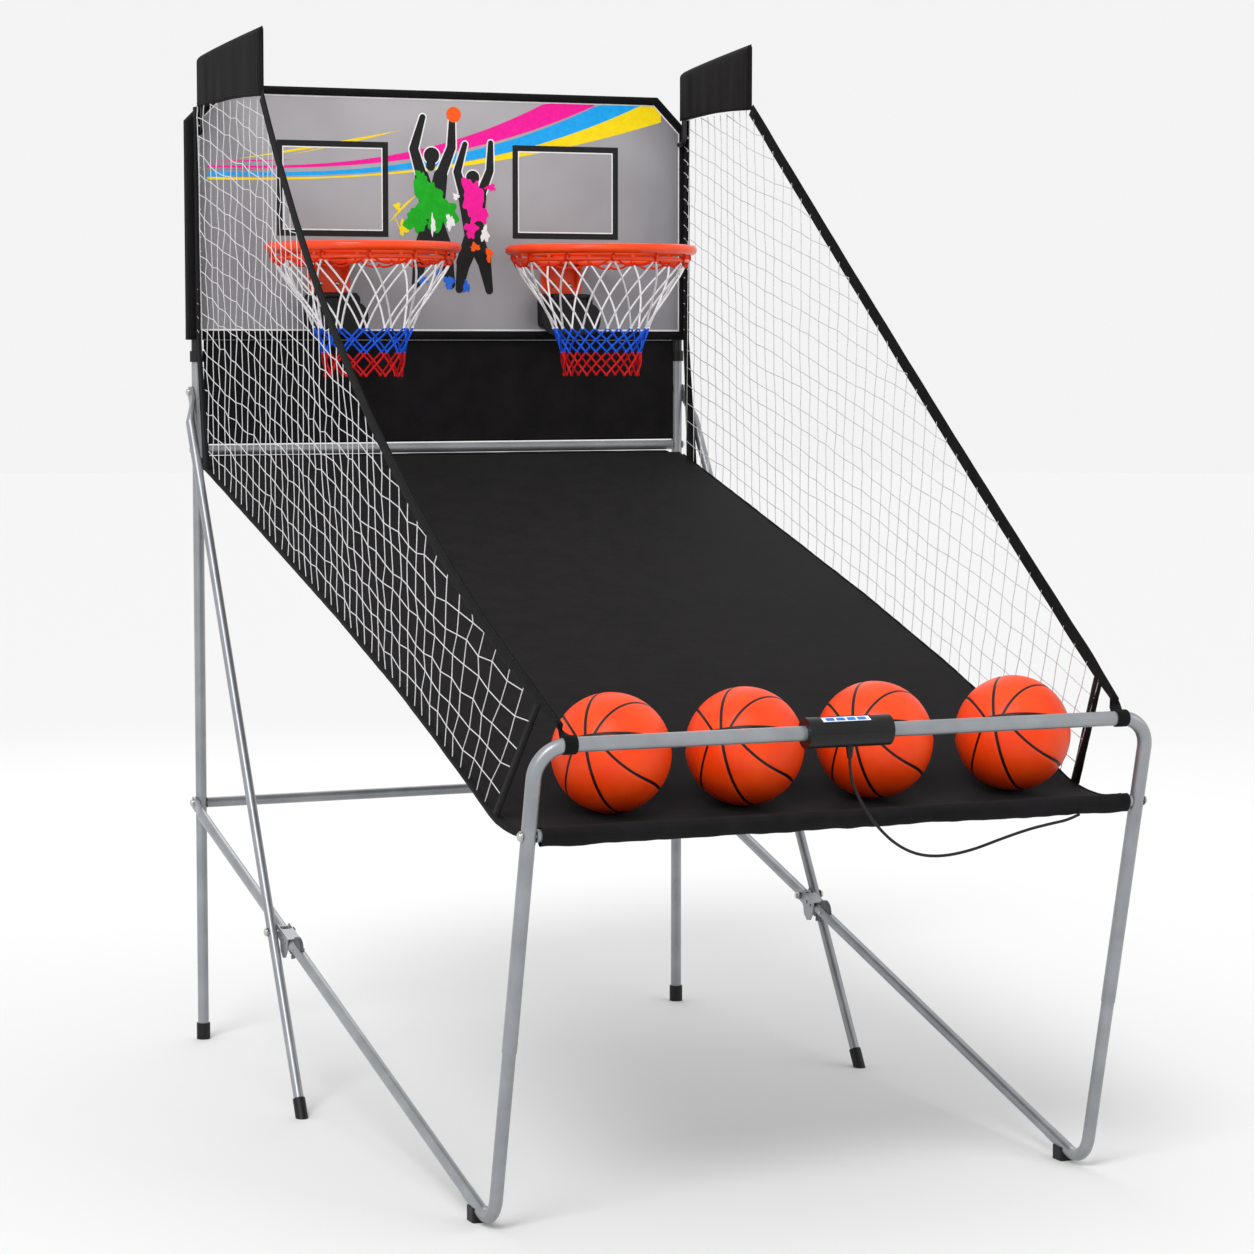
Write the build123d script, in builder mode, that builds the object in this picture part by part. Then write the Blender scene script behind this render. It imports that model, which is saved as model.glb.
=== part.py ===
from build123d import *
from math import atan2, cos, degrees, hypot, pi, radians, sin, tan
import os

# Folding double-shot basketball hoop machine.
# Millimetres. +X is the player's right, +Y runs from the player to the backboard, +Z is up.
# The origin is on the floor, at the centre of the box that holds the whole machine.
os.makedirs("parts", exist_ok=True)

# ---- driving dimensions: "depth" is the distance in front of the two rear posts ----
POST_X = 480.0            # half the distance between the rear posts
POST_R = 10.0
TUBE_WALL = 1.2
POST_TOP = 1262.0
RAIL_X = 495.0            # half the width of the front frame
RAIL_R = 11.0
RAIL_DEPTH = 1704.0
RAIL_Z = 726.0
RAIL_BEND = 48.0
TOE_DEPTH = 1533.0        # where the lines of front leg and strut meet, near the floor
TOE_Z = 4.0
FOOT_R = 10.0
FOOT_BEND = 45.0
JOINT_Z = 275.0           # swaged joint in the middle of the front leg
STRUT_R = 9.5
STRUT_Z = 441.0           # height of the strut pivot and of the lower cross tube
BRACE_R = 8.5
BRACE_TOP_X = 502.0
BRACE_FOOT_X = 520.0
BRACE_TOP_Z = 1197.0
BRACE_FOOT_DEPTH = 712.0
CROSS_R = 9.5
RAMP_REAR_Z = 1091.0
RAMP_FRONT_Z = 596.0
RAMP_HALF = 480.0
CLOTH = 1.8
BOLT_R = 4.0
BOLT_HOLE_R = 4.05
CRIMP = 5.0               # thickness of a flattened tube end
CRIMP_X = 493.0           # middle plane of the flattened ends on the outside of the posts
BOARD_BOTTOM = 1293.0
BOARD_TOP = 1755.0
BOARD_HALF = 499.0
BOARD_CUT = 66.0          # chamfered top corners
BORDER = 19.0
PANEL_T = 4.0
PANEL_FACE = 15.0         # depth of the playing face
HOOP_X = 232.0
HOOP_DEPTH = 212.0
HOOP_Z = 1457.0
HOOP_R = 168.0
HOOP_WIRE = 9.0
NET_RING_R = 160.0
NET_RING_WIRE = 3.5
NET_RING_Z = 1438.0
BALL_R = 88.5
BALL_DEPTH = 1530.0
BALL_Z = 690.0
BALL_X = (-308.0, -93.0, 123.0, 361.0)
CASE_X = -12.0            # controller on the rail
CASE_HALF = 67.5
CASE_R = 22.5
CAP_R = 12.5
REAR_REACH = 13.0         # how far the collars stand behind the post centres

POST_Y = (RAIL_DEPTH + CASE_R - REAR_REACH) / 2
SIDES = {"left": -1, "right": 1}


def at(x, depth, z):
    """A point from its distance in front of the rear posts."""
    return Vector(x, POST_Y - depth, z)


def save(builder, label):
    builder.part.label = label
    export_step(builder.part, f"parts/{label}.step")


def x_rod(x_low, x_high, depth, z, radius):
    """A solid rod along X, for adding or cutting."""
    with BuildPart(mode=Mode.PRIVATE) as rod:
        with BuildSketch(Plane(origin=at(x_low, depth, z), z_dir=(1, 0, 0))):
            Circle(radius)
        extrude(amount=x_high - x_low)
    return rod.part


def z_rod(x, depth, z_low, z_high, radius):
    with BuildPart(mode=Mode.PRIVATE) as rod:
        with BuildSketch(Plane(origin=at(x, depth, z_low), z_dir=(0, 0, 1))):
            Circle(radius)
        extrude(amount=z_high - z_low)
    return rod.part


def rod_between(start, end, radius):
    with BuildPart(mode=Mode.PRIVATE) as rod:
        with BuildSketch(Plane(origin=start, z_dir=end - start)):
            Circle(radius)
        extrude(amount=(end - start).length)
    return rod.part


def bent_rod(points, bend, radius):
    """A round bar through the points, with one bend radius at each corner."""
    with BuildPart(mode=Mode.PRIVATE) as rod:
        with BuildLine() as path:
            FilletPolyline(*points, radius=bend)
        with BuildSketch(Plane(origin=path.line @ 0, z_dir=path.line % 0)):
            Circle(radius)
        sweep(path=path.line)
    return rod.part


def plate(x_mid, thickness, points):
    """A flat plate square to X: its outline is (depth, z) points."""
    with BuildPart(mode=Mode.PRIVATE) as sheet:
        with BuildSketch(Plane(origin=(x_mid - thickness / 2, POST_Y, 0), x_dir=(0, -1, 0), z_dir=(-1, 0, 0))):
            with BuildLine():
                Polyline(*points, close=True)
            make_face()
        extrude(amount=-thickness)
    return sheet.part


def skin(corners, thickness):
    """One flat panel of fabric through three or four points, thickened outwards along X."""
    side = 1 if corners[0].X > 0 else -1
    face = Face(Wire.make_polygon(corners, close=True))
    return Solid.extrude(face, Vector(side * thickness, 0, 0))


# ---- the knee: where strut, brace leg and front frame share one bolt on each side ----
STRUT_SLOPE = (STRUT_Z - TOE_Z) / TOE_DEPTH
BRACE_SLOPE = BRACE_TOP_Z / BRACE_FOOT_DEPTH
KNEE_DEPTH = (BRACE_TOP_Z - STRUT_Z) / (BRACE_SLOPE - STRUT_SLOPE)
KNEE_Z = STRUT_Z - STRUT_SLOPE * KNEE_DEPTH
STRUT_LEN = hypot(1.0, STRUT_SLOPE)
AHEAD = (1 / STRUT_LEN, -STRUT_SLOPE / STRUT_LEN)     # along the strut, as (depth, z)
ABOVE = (STRUT_SLOPE / STRUT_LEN, 1 / STRUT_LEN)      # square to the strut


def on_strut(along, up):
    """(depth, z) of a point measured from the knee bolt, along the strut and square to it."""
    return (KNEE_DEPTH + along * AHEAD[0] + up * ABOVE[0], KNEE_Z + along * AHEAD[1] + up * ABOVE[1])


def strut_point(x, along, up=0.0):
    depth, z = on_strut(along, up)
    return at(x, depth, z)


def brace_x(z):
    return BRACE_TOP_X + (BRACE_FOOT_X - BRACE_TOP_X) * (BRACE_TOP_Z - z) / BRACE_TOP_Z


LEG_LEAN = (RAIL_DEPTH - TOE_DEPTH) / (RAIL_Z - TOE_Z)


def leg_depth(z):
    return TOE_DEPTH + LEG_LEAN * (z - TOE_Z)


RAMP_FRONT_DEPTH = leg_depth(RAMP_FRONT_Z)
print("post_y", round(POST_Y, 2), "knee depth, z", round(KNEE_DEPTH, 2), round(KNEE_Z, 2))
print("ramp front depth", round(RAMP_FRONT_DEPTH, 2))

# ---- rear posts ----
for side, s in SIDES.items():
    with BuildPart() as rear_post:
        add(z_rod(s * POST_X, 0, 3.0, POST_TOP, POST_R))
        add(z_rod(s * POST_X, 0, 3.0, POST_TOP, POST_R - TUBE_WALL), mode=Mode.SUBTRACT)
        for z in (STRUT_Z, BRACE_TOP_Z, RAMP_REAR_Z):
            add(x_rod(s * POST_X - 20, s * POST_X + 20, 0, z, BOLT_HOLE_R), mode=Mode.SUBTRACT)
    save(rear_post, f"rear_post_{side}")


# ---- tubes with a flattened, drilled end ----
def crimped_end(x, pivot_depth, pivot_z, ahead, radius, flat_x):
    """The flattened end of a tube: a round-ended tongue that swells into the full tube."""
    start = at(x + ahead[2] * 62, pivot_depth + ahead[0] * 62, pivot_z + ahead[1] * 62)
    neck = at(flat_x, pivot_depth + ahead[0] * 18, pivot_z + ahead[1] * 18)
    up = Vector(0, -ahead[0], ahead[1])
    along = Vector(ahead[2], -ahead[0], ahead[1]).normalized()
    across = (Vector(1, 0, 0) - along * along.X).normalized()
    with BuildPart(mode=Mode.PRIVATE) as end:
        with BuildSketch(Plane(origin=neck, x_dir=(1, 0, 0), z_dir=up)):
            Rectangle(CRIMP, 2 * radius + 4)
        with BuildSketch(Plane(origin=start, x_dir=across, z_dir=along)):
            Circle(radius)
        loft()
        with BuildSketch(Plane(origin=neck, x_dir=(1, 0, 0), z_dir=-up)):
            Rectangle(CRIMP, 2 * radius + 4)
        extrude(amount=18)
        add(x_rod(flat_x - CRIMP / 2, flat_x + CRIMP / 2, pivot_depth, pivot_z, radius + 2))
    return end.part


for side, s in SIDES.items():
    top = at(s * BRACE_TOP_X, 0, BRACE_TOP_Z)
    foot = at(s * BRACE_FOOT_X, BRACE_FOOT_DEPTH, 0)
    run = foot - top
    fall = run.normalized()
    ahead = (-fall.Y, fall.Z, fall.X)
    crimp_out = top + fall * 62
    with BuildPart() as brace_leg:
        add(rod_between(crimp_out, top + fall * (run.length - 6), BRACE_R))
        add(rod_between(crimp_out + fall * 10, top + fall * run.length, BRACE_R - TUBE_WALL), mode=Mode.SUBTRACT)
        add(crimped_end(s * BRACE_TOP_X, 0, BRACE_TOP_Z, ahead, BRACE_R, s * CRIMP_X))
        add(x_rod(s * CRIMP_X - 12, s * CRIMP_X + 12, 0, BRACE_TOP_Z, BOLT_HOLE_R), mode=Mode.SUBTRACT)
        knee_x = s * brace_x(KNEE_Z)
        add(x_rod(knee_x - 12, knee_x + 12, KNEE_DEPTH, KNEE_Z, BOLT_HOLE_R), mode=Mode.SUBTRACT)
    save(brace_leg, f"brace_leg_{side}")

    start = at(s * RAIL_X, AHEAD[0] * 62, STRUT_Z + AHEAD[1] * 62)
    with BuildPart() as rear_strut:
        add(crimped_end(s * RAIL_X, 0, STRUT_Z, (AHEAD[0], AHEAD[1], 0.0), STRUT_R, s * CRIMP_X))
        add(rod_between(start, strut_point(s * RAIL_X, 0), STRUT_R))
        add(x_rod(s * RAIL_X - STRUT_R, s * RAIL_X + STRUT_R, KNEE_DEPTH, KNEE_Z, STRUT_R))
        add(rod_between(start, strut_point(s * RAIL_X, STRUT_R + 2), STRUT_R - TUBE_WALL), mode=Mode.SUBTRACT)
        add(x_rod(s * RAIL_X - 14, s * RAIL_X + 14, KNEE_DEPTH, KNEE_Z, BOLT_HOLE_R), mode=Mode.SUBTRACT)
        add(x_rod(s * CRIMP_X - 12, s * CRIMP_X + 12, 0, STRUT_Z, BOLT_HOLE_R), mode=Mode.SUBTRACT)
    save(rear_strut, f"rear_strut_{side}")


def strut_plate(x_mid, thickness, points):
    """A plate square to X whose outline is measured from the knee bolt, along the strut and square to it."""
    return plate(x_mid, thickness, [on_strut(along, up) for along, up in points])


# ---- catch plates: a tongue from each rear strut that the latch hooks under ----
TONGUE_T = 4.0
TONGUE = [(-45, -6), (-45, 6), (4, 6), (14, -2), (19, -10.5), (50, -10.5), (50, -20), (16, -20), (8, -6)]
with BuildPart() as catch_plates:
    for s in SIDES.values():
        add(strut_plate(s * RAIL_X, TONGUE_T, TONGUE))
        add(x_rod(s * RAIL_X - 6, s * RAIL_X + 6, KNEE_DEPTH, KNEE_Z, BOLT_HOLE_R), mode=Mode.SUBTRACT)
save(catch_plates, "catch_plates")


# ---- cross tubes: a welded nut plug closes each end ----
def cross_tube(half, depth, z, radius):
    with BuildPart(mode=Mode.PRIVATE) as tube:
        add(x_rod(-half, half, depth, z, radius))
        add(x_rod(-half + 22, half - 22, depth, z, radius - TUBE_WALL), mode=Mode.SUBTRACT)
        add(x_rod(-half - 1, half + 1, depth, z, BOLT_HOLE_R), mode=Mode.SUBTRACT)
    return tube.part


POST_INSIDE = POST_X - POST_R - 0.3
for label, half, depth, z, radius in (
    ("lower_cross_tube", POST_INSIDE, 0, STRUT_Z, CROSS_R),
    ("ramp_rear_tube", POST_INSIDE, 0, RAMP_REAR_Z, CROSS_R),
    ("board_lower_tube", POST_INSIDE, 0, BOARD_BOTTOM + 10, 8.0),
    ("ramp_front_tube", RAIL_X - RAIL_R - 0.3, RAMP_FRONT_DEPTH, RAMP_FRONT_Z, CROSS_R),
):
    with BuildPart() as tube:
        add(cross_tube(half, depth, z, radius))
    save(tube, label)

# ---- black end caps on the posts and on the brace legs ----
with BuildPart() as leg_caps:
    for s in SIDES.values():
        top = at(s * BRACE_TOP_X, 0, BRACE_TOP_Z)
        foot = at(s * BRACE_FOOT_X, BRACE_FOOT_DEPTH, 0)
        fall = (foot - top).normalized()
        add(rod_between(foot - fall * 34, foot + fall * 12, BRACE_R + 2))
        add(rod_between(foot - fall * 40, foot - fall * 6, BRACE_R), mode=Mode.SUBTRACT)
        add(z_rod(s * POST_X, 0, 0, 30, CAP_R))
        add(z_rod(s * POST_X, 0, 3, 31, POST_R), mode=Mode.SUBTRACT)
    split(bisect_by=Plane.XY, keep=Keep.TOP)
save(leg_caps, "leg_caps")

# ---- front frame: rail with its two upper legs, bent from one tube ----
leg_end = JOINT_Z
rail_path = [
    at(-RAIL_X, leg_depth(leg_end), leg_end), at(-RAIL_X, RAIL_DEPTH, RAIL_Z),
    at(RAIL_X, RAIL_DEPTH, RAIL_Z), at(RAIL_X, leg_depth(leg_end), leg_end),
]
RAIL_BORE = RAIL_R - TUBE_WALL
with BuildPart() as front_rail:
    add(bent_rod(rail_path, RAIL_BEND, RAIL_R))
    add(bent_rod(rail_path, RAIL_BEND, RAIL_BORE), mode=Mode.SUBTRACT)
    for s in SIDES.values():
        add(x_rod(s * RAIL_X - 20, s * RAIL_X + 20, RAMP_FRONT_DEPTH, RAMP_FRONT_Z, BOLT_HOLE_R), mode=Mode.SUBTRACT)
save(front_rail, "front_rail")

# ---- front feet: swaged into the upper legs, bent back at the floor, holding the struts ----
TOE_ALONG = (TOE_DEPTH - KNEE_DEPTH) * STRUT_LEN
SOCKET_ALONG = TOE_ALONG - 110
SPIGOT = 40.0
SWAGE_GAP = 0.05
FRONT_STRUT_START = 22.0
with BuildPart() as front_feet:
    for s in SIDES.values():
        x = s * RAIL_X
        path = [at(x, leg_depth(leg_end), leg_end), at(x, TOE_DEPTH, TOE_Z), strut_point(x, SOCKET_ALONG)]
        spigot_top = at(x, leg_depth(leg_end + SPIGOT), leg_end + SPIGOT)
        add(bent_rod(path, FOOT_BEND, FOOT_R))
        add(rod_between(path[0], spigot_top, RAIL_BORE - SWAGE_GAP))
        add(bent_rod([spigot_top, path[1], path[2]], FOOT_BEND, FOOT_R - TUBE_WALL), mode=Mode.SUBTRACT)
save(front_feet, "front_feet")

PIVOT = (82.0, 2.0)       # latch pivot, along the strut and above its centre line
THUMB_R = 20.5
THUMB_T = 6.0
PIN_R = 2.5
with BuildPart() as front_struts:
    for s in SIDES.values():
        x = s * RAIL_X
        add(rod_between(strut_point(x, FRONT_STRUT_START), strut_point(x, SOCKET_ALONG), STRUT_R))
        add(rod_between(strut_point(x, SOCKET_ALONG), strut_point(x, SOCKET_ALONG + SPIGOT),
                        FOOT_R - TUBE_WALL - SWAGE_GAP))
        add(rod_between(strut_point(x, FRONT_STRUT_START), strut_point(x, SOCKET_ALONG + SPIGOT),
                        STRUT_R - TUBE_WALL - 0.4), mode=Mode.SUBTRACT)
        add(strut_plate(x, THUMB_T + 1, [(58, 0), (58, 12), (106, 12), (106, 0)]), mode=Mode.SUBTRACT)
        add(strut_plate(x, THUMB_T + 1, [(50, 0), (50, -12), (102, -12), (102, 0)]), mode=Mode.SUBTRACT)
        depth, z = on_strut(*PIVOT)
        add(x_rod(x - 12, x + 12, depth, z, PIN_R + 0.02), mode=Mode.SUBTRACT)
save(front_struts, "front_struts")

# ---- knee brackets: a folded steel saddle on the end of each front strut ----
CHEEK_T = 1.5
CHEEK_IN = 10.0
CHEEK = [(-10, -7), (-10, 7), (-6, 11.3), (58, 11.3), (58, -13), (53, -25), (40, -31), (25, -24), (19, -11), (14, -9)]
RIVETS = ((29.0, 0.0), (44.0, 0.0))
with BuildPart() as knee_brackets:
    for s in SIDES.values():
        x = s * RAIL_X
        for cheek in (-1, 1):
            add(strut_plate(x + cheek * (CHEEK_IN + CHEEK_T / 2), CHEEK_T, CHEEK))
            for along, up in RIVETS:
                depth, z = on_strut(along, up)
                low = x + cheek * (CHEEK_IN + CHEEK_T / 2)
                add(x_rod(low - 2.2, low + 2.2, depth, z, 3.0))
        add(strut_plate(x, 2 * (CHEEK_IN + CHEEK_T), [(16, 9.8), (16, 11.3), (58, 11.3), (58, 9.8)]))
        add(x_rod(x - 20, x + 20, KNEE_DEPTH, KNEE_Z, BOLT_R + 0.08), mode=Mode.SUBTRACT)
        add(rod_between(strut_point(x, FRONT_STRUT_START - 1), strut_point(x, 80), STRUT_R), mode=Mode.SUBTRACT)
save(knee_brackets, "knee_brackets")

# ---- latch levers: a thumb disc standing out of the strut, with a claw in front of the catch plate ----
HOOK = [(70, 4), (62, -6), (55.8, -9), (54.8, -12), (54.4, -22), (56, -26.5), (61, -24), (84, -6), (86, 4)]
for side, s in SIDES.items():
    x = s * RAIL_X
    depth, z = on_strut(*PIVOT)
    middle, up = on_strut(PIVOT[0], PIVOT[1] + 2)
    with BuildPart() as latch_lever:
        add(x_rod(x - THUMB_T / 2, x + THUMB_T / 2, middle, up, THUMB_R))
        add(strut_plate(x, THUMB_T + 2, [(50, -6), (50, -30), (110, -30), (110, -6)]), mode=Mode.SUBTRACT)
        add(strut_plate(x, TONGUE_T, HOOK))
        add(x_rod(x - 12, x + 12, depth, z, PIN_R + 0.06), mode=Mode.SUBTRACT)
    save(latch_lever, f"latch_lever_{side}")

with BuildPart() as latch_pins:
    for s in SIDES.values():
        x = s * RAIL_X
        depth, z = on_strut(*PIVOT)
        add(x_rod(x - STRUT_R - 1.5, x + STRUT_R + 1.5, depth, z, PIN_R))
save(latch_pins, "latch_pins")

# ---- floor pads under the front feet ----
PAD_DEPTH = 1467.0
with BuildPart() as floor_pads:
    for s in SIDES.values():
        x = s * RAIL_X
        with BuildSketch(Plane(origin=at(x, PAD_DEPTH, 0), z_dir=(0, 0, 1))):
            RectangleRounded(25, 30, 5)
        extrude(amount=22)
        add(rod_between(strut_point(x, SOCKET_ALONG), strut_point(x, TOE_ALONG), FOOT_R), mode=Mode.SUBTRACT)
save(floor_pads, "floor_pads")


# ---- bolts, washers and nuts ----
def bolt(x_head, x_tip, depth, z):
    """A domed bolt along X with its washer; the head's flat side is at x_head."""
    out = 1 if x_head > x_tip else -1
    with BuildPart(mode=Mode.PRIVATE) as piece:
        with BuildSketch(Plane(origin=at(x_head, depth, z), x_dir=(0, 1, 0), z_dir=(out, 0, 0))):
            Circle(8.0)
        extrude(amount=1.2)
        with BuildSketch(Plane(origin=at(x_head + out * 1.2, depth, z), x_dir=(0, 1, 0), z_dir=(out, 0, 0))):
            Circle(6.5)
        extrude(amount=4.0)
        fillet(piece.edges().filter_by(GeomType.CIRCLE).sort_by(Axis.X)[-1 if out > 0 else 0], 2.8)
        add(x_rod(min(x_head, x_tip), max(x_head, x_tip), depth, z, BOLT_R))
    return piece.part


def nut(x_face, out, depth, z):
    with BuildPart(mode=Mode.PRIVATE) as piece:
        with BuildSketch(Plane(origin=at(x_face, depth, z), x_dir=(0, 1, 0), z_dir=(out, 0, 0))):
            RegularPolygon(radius=7.0, side_count=6)
            Circle(BOLT_R + 0.02, mode=Mode.SUBTRACT)
        extrude(amount=6.0)
    return piece.part


OUTSIDE_CRIMP = CRIMP_X + CRIMP / 2
KNEE_OUTSIDE = brace_x(KNEE_Z) + BRACE_R + 0.2
KNEE_INSIDE = RAIL_X - CHEEK_IN - CHEEK_T - 0.4
with BuildPart() as frame_bolts:
    for s in SIDES.values():
        add(bolt(s * OUTSIDE_CRIMP, s * (POST_INSIDE - 18), 0, STRUT_Z))
        add(bolt(s * OUTSIDE_CRIMP, s * (POST_X - POST_R - 8), 0, BRACE_TOP_Z))
        add(bolt(s * (POST_X + POST_R), s * (POST_INSIDE - 18), 0, RAMP_REAR_Z))
        add(bolt(s * KNEE_OUTSIDE, s * (KNEE_INSIDE - 8), KNEE_DEPTH, KNEE_Z))
save(frame_bolts, "frame_bolts")

with BuildPart() as frame_nuts:
    for s in SIDES.values():
        add(nut(s * (POST_X - POST_R - 0.1), -s, 0, BRACE_TOP_Z))
        add(nut(s * KNEE_INSIDE, -s, KNEE_DEPTH, KNEE_Z))
save(frame_nuts, "frame_nuts")

with BuildPart() as leg_bolts:
    for s in SIDES.values():
        add(bolt(s * (RAIL_X + RAIL_R), s * (RAIL_X - RAIL_R - 20), RAMP_FRONT_DEPTH, RAMP_FRONT_Z))
save(leg_bolts, "leg_bolts")


# ---- backboard: tube frame, playing panel and black border sleeve ----
def board_outline(half, bottom, top, cut):
    """Corners of the board seen from the front, with its two chamfered top corners, as (x, z)."""
    return [(-half, bottom), (half, bottom), (half, top - cut), (half - cut, top), (cut - half, top), (-half, top - cut)]


def board_slab(depth_front, depth_back, outline):
    with BuildPart(mode=Mode.PRIVATE) as slab:
        with BuildSketch(Plane(origin=at(0, depth_front, 0), x_dir=(1, 0, 0), z_dir=(0, -1, 0))):
            with BuildLine():
                Polyline(*outline, close=True)
            make_face()
        extrude(amount=-(depth_front - depth_back))
    return slab.part


FRAME_TOP = BOARD_TOP - BORDER
FRAME_CUT = 55.0
board_path = [
    at(-POST_X, 0, POST_TOP + 0.3), at(-POST_X, 0, FRAME_TOP - FRAME_CUT), at(-POST_X + FRAME_CUT, 0, FRAME_TOP),
    at(POST_X - FRAME_CUT, 0, FRAME_TOP), at(POST_X, 0, FRAME_TOP - FRAME_CUT), at(POST_X, 0, POST_TOP + 0.3),
]
with BuildPart() as board_frame:
    add(bent_rod(board_path, 35.0, POST_R))
    for s in SIDES.values():
        add(z_rod(s * POST_X, 0, POST_TOP - 30, POST_TOP + 10, POST_R - TUBE_WALL - SWAGE_GAP))
    add(bent_rod(board_path, 35.0, POST_R - 2.4), mode=Mode.SUBTRACT)
    for s in SIDES.values():
        add(z_rod(s * POST_X, 0, POST_TOP - 31, POST_TOP + 10, POST_R - 2.4), mode=Mode.SUBTRACT)
save(board_frame, "board_frame")

# ---- wing tubes: a bent bar on each top side of the board, pointing at the player ----
WING_NEAR = 366.0         # depth of the wing's front edge
WING_FAR = 20.0
WING_X = 479.0            # at the board; the wings turn inwards as they come forward
WING_TOE_IN = 14.0
WING_BAR_R = 5.0
WING_BOTTOM = 1713.0
WING_TOP_FAR = 1808.0
WING_TOP_NEAR = 1830.0


def wing_at(s, depth, z):
    x = WING_X - WING_TOE_IN * max(depth - WING_FAR, 0) / (WING_NEAR - WING_FAR)
    return at(s * x, depth, z)


def wing_bar(s, radius):
    lower, upper, near = WING_BOTTOM + 13, WING_TOP_NEAR - 15, WING_NEAR - 14
    points = [at(s * WING_X, 10.4, 1666), at(s * WING_X, 38, 1666), wing_at(s, 38, lower),
              wing_at(s, near, lower), wing_at(s, near, upper), wing_at(s, 60, upper - 18)]
    return bent_rod(points, 13.0, radius)


with BuildPart() as wing_tubes:
    for s in SIDES.values():
        add(wing_bar(s, WING_BAR_R))
save(wing_tubes, "wing_tubes")

WING_T = 14.0
for side, s in SIDES.items():
    corners = [wing_at(s, WING_FAR, WING_BOTTOM), wing_at(s, WING_FAR, WING_TOP_FAR - 8),
               wing_at(s, WING_FAR + 14, WING_TOP_FAR), wing_at(s, WING_NEAR, WING_TOP_NEAR),
               wing_at(s, WING_NEAR, WING_BOTTOM)]
    inner = [corner - Vector(s * WING_T / 2, 0, 0) for corner in corners]
    with BuildPart() as wing_panel:
        add(skin(inner, WING_T))
        add(wing_bar(s, WING_BAR_R + 0.3), mode=Mode.SUBTRACT)
    save(wing_panel, f"wing_panel_{side}")

with BuildPart() as board_border:
    add(board_slab(17.5, -12.0, board_outline(BOARD_HALF, BOARD_BOTTOM, BOARD_TOP, BOARD_CUT)))
    add(board_slab(20.0, -14.0, board_outline(478, 1309, 1740, 53)), mode=Mode.SUBTRACT)
    add(board_slab(PANEL_FACE + 0.2, PANEL_FACE - PANEL_T - 0.2, board_outline(493.2, 1298.8, 1749.2, 64)),
        mode=Mode.SUBTRACT)
    add(bent_rod(board_path, 35.0, POST_R + 0.2), mode=Mode.SUBTRACT)
    add(x_rod(-POST_INSIDE, POST_INSIDE, 0, BOARD_BOTTOM + 10, 8.2), mode=Mode.SUBTRACT)
    for s in SIDES.values():
        add(wing_bar(s, WING_BAR_R + 0.5), mode=Mode.SUBTRACT)
save(board_border, "board_border")

with BuildPart() as post_collars:
    for s in SIDES.values():
        add(z_rod(s * POST_X, 0, 1252, 1272, REAR_REACH))
        add(z_rod(s * POST_X, 0, 1251, 1273, POST_R), mode=Mode.SUBTRACT)
save(post_collars, "post_collars")

with BuildPart() as lower_panel:
    with BuildSketch(Plane(origin=at(0, 8, 1197), x_dir=(1, 0, 0), z_dir=(0, 1, 0))):
        Rectangle(2 * 462, 190)
    extrude(amount=CLOTH)
save(lower_panel, "lower_panel")

# ---- hoops ----
RING_STUDS = 12
SCREWS = [(dx, z) for dx in (-16, 16) for z in (1396, 1436)]
SCREW_R = 2.0
PLATE_T = 3.5


def screw_shank(x, z, radius):
    """A short rod through a bracket's back plate and the board's panel."""
    return rod_between(at(x, PANEL_FACE + PLATE_T, z), at(x, PANEL_FACE - PANEL_T - 3, z), radius)


with BuildPart() as hoop_screws:
    for s in SIDES.values():
        for dx, z in SCREWS:
            with Locations(at(s * HOOP_X + dx, PANEL_FACE + PLATE_T, z)):
                Sphere(4.6)
    add(board_slab(PANEL_FACE + PLATE_T, PANEL_FACE - 5, board_outline(490, 1305, 1700, 10)), mode=Mode.SUBTRACT)
    for s in SIDES.values():
        for dx, z in SCREWS:
            add(screw_shank(s * HOOP_X + dx, z, SCREW_R))
save(hoop_screws, "hoop_screws")

with BuildPart() as board_panel:
    add(board_slab(PANEL_FACE, PANEL_FACE - PANEL_T, board_outline(493, 1299, 1749, 64)))
    for s in SIDES.values():
        add(wing_bar(s, WING_BAR_R + 0.5), mode=Mode.SUBTRACT)
        for dx, z in SCREWS:
            add(screw_shank(s * HOOP_X + dx, z, SCREW_R + 0.05), mode=Mode.SUBTRACT)
save(board_panel, "board_panel")

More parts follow.
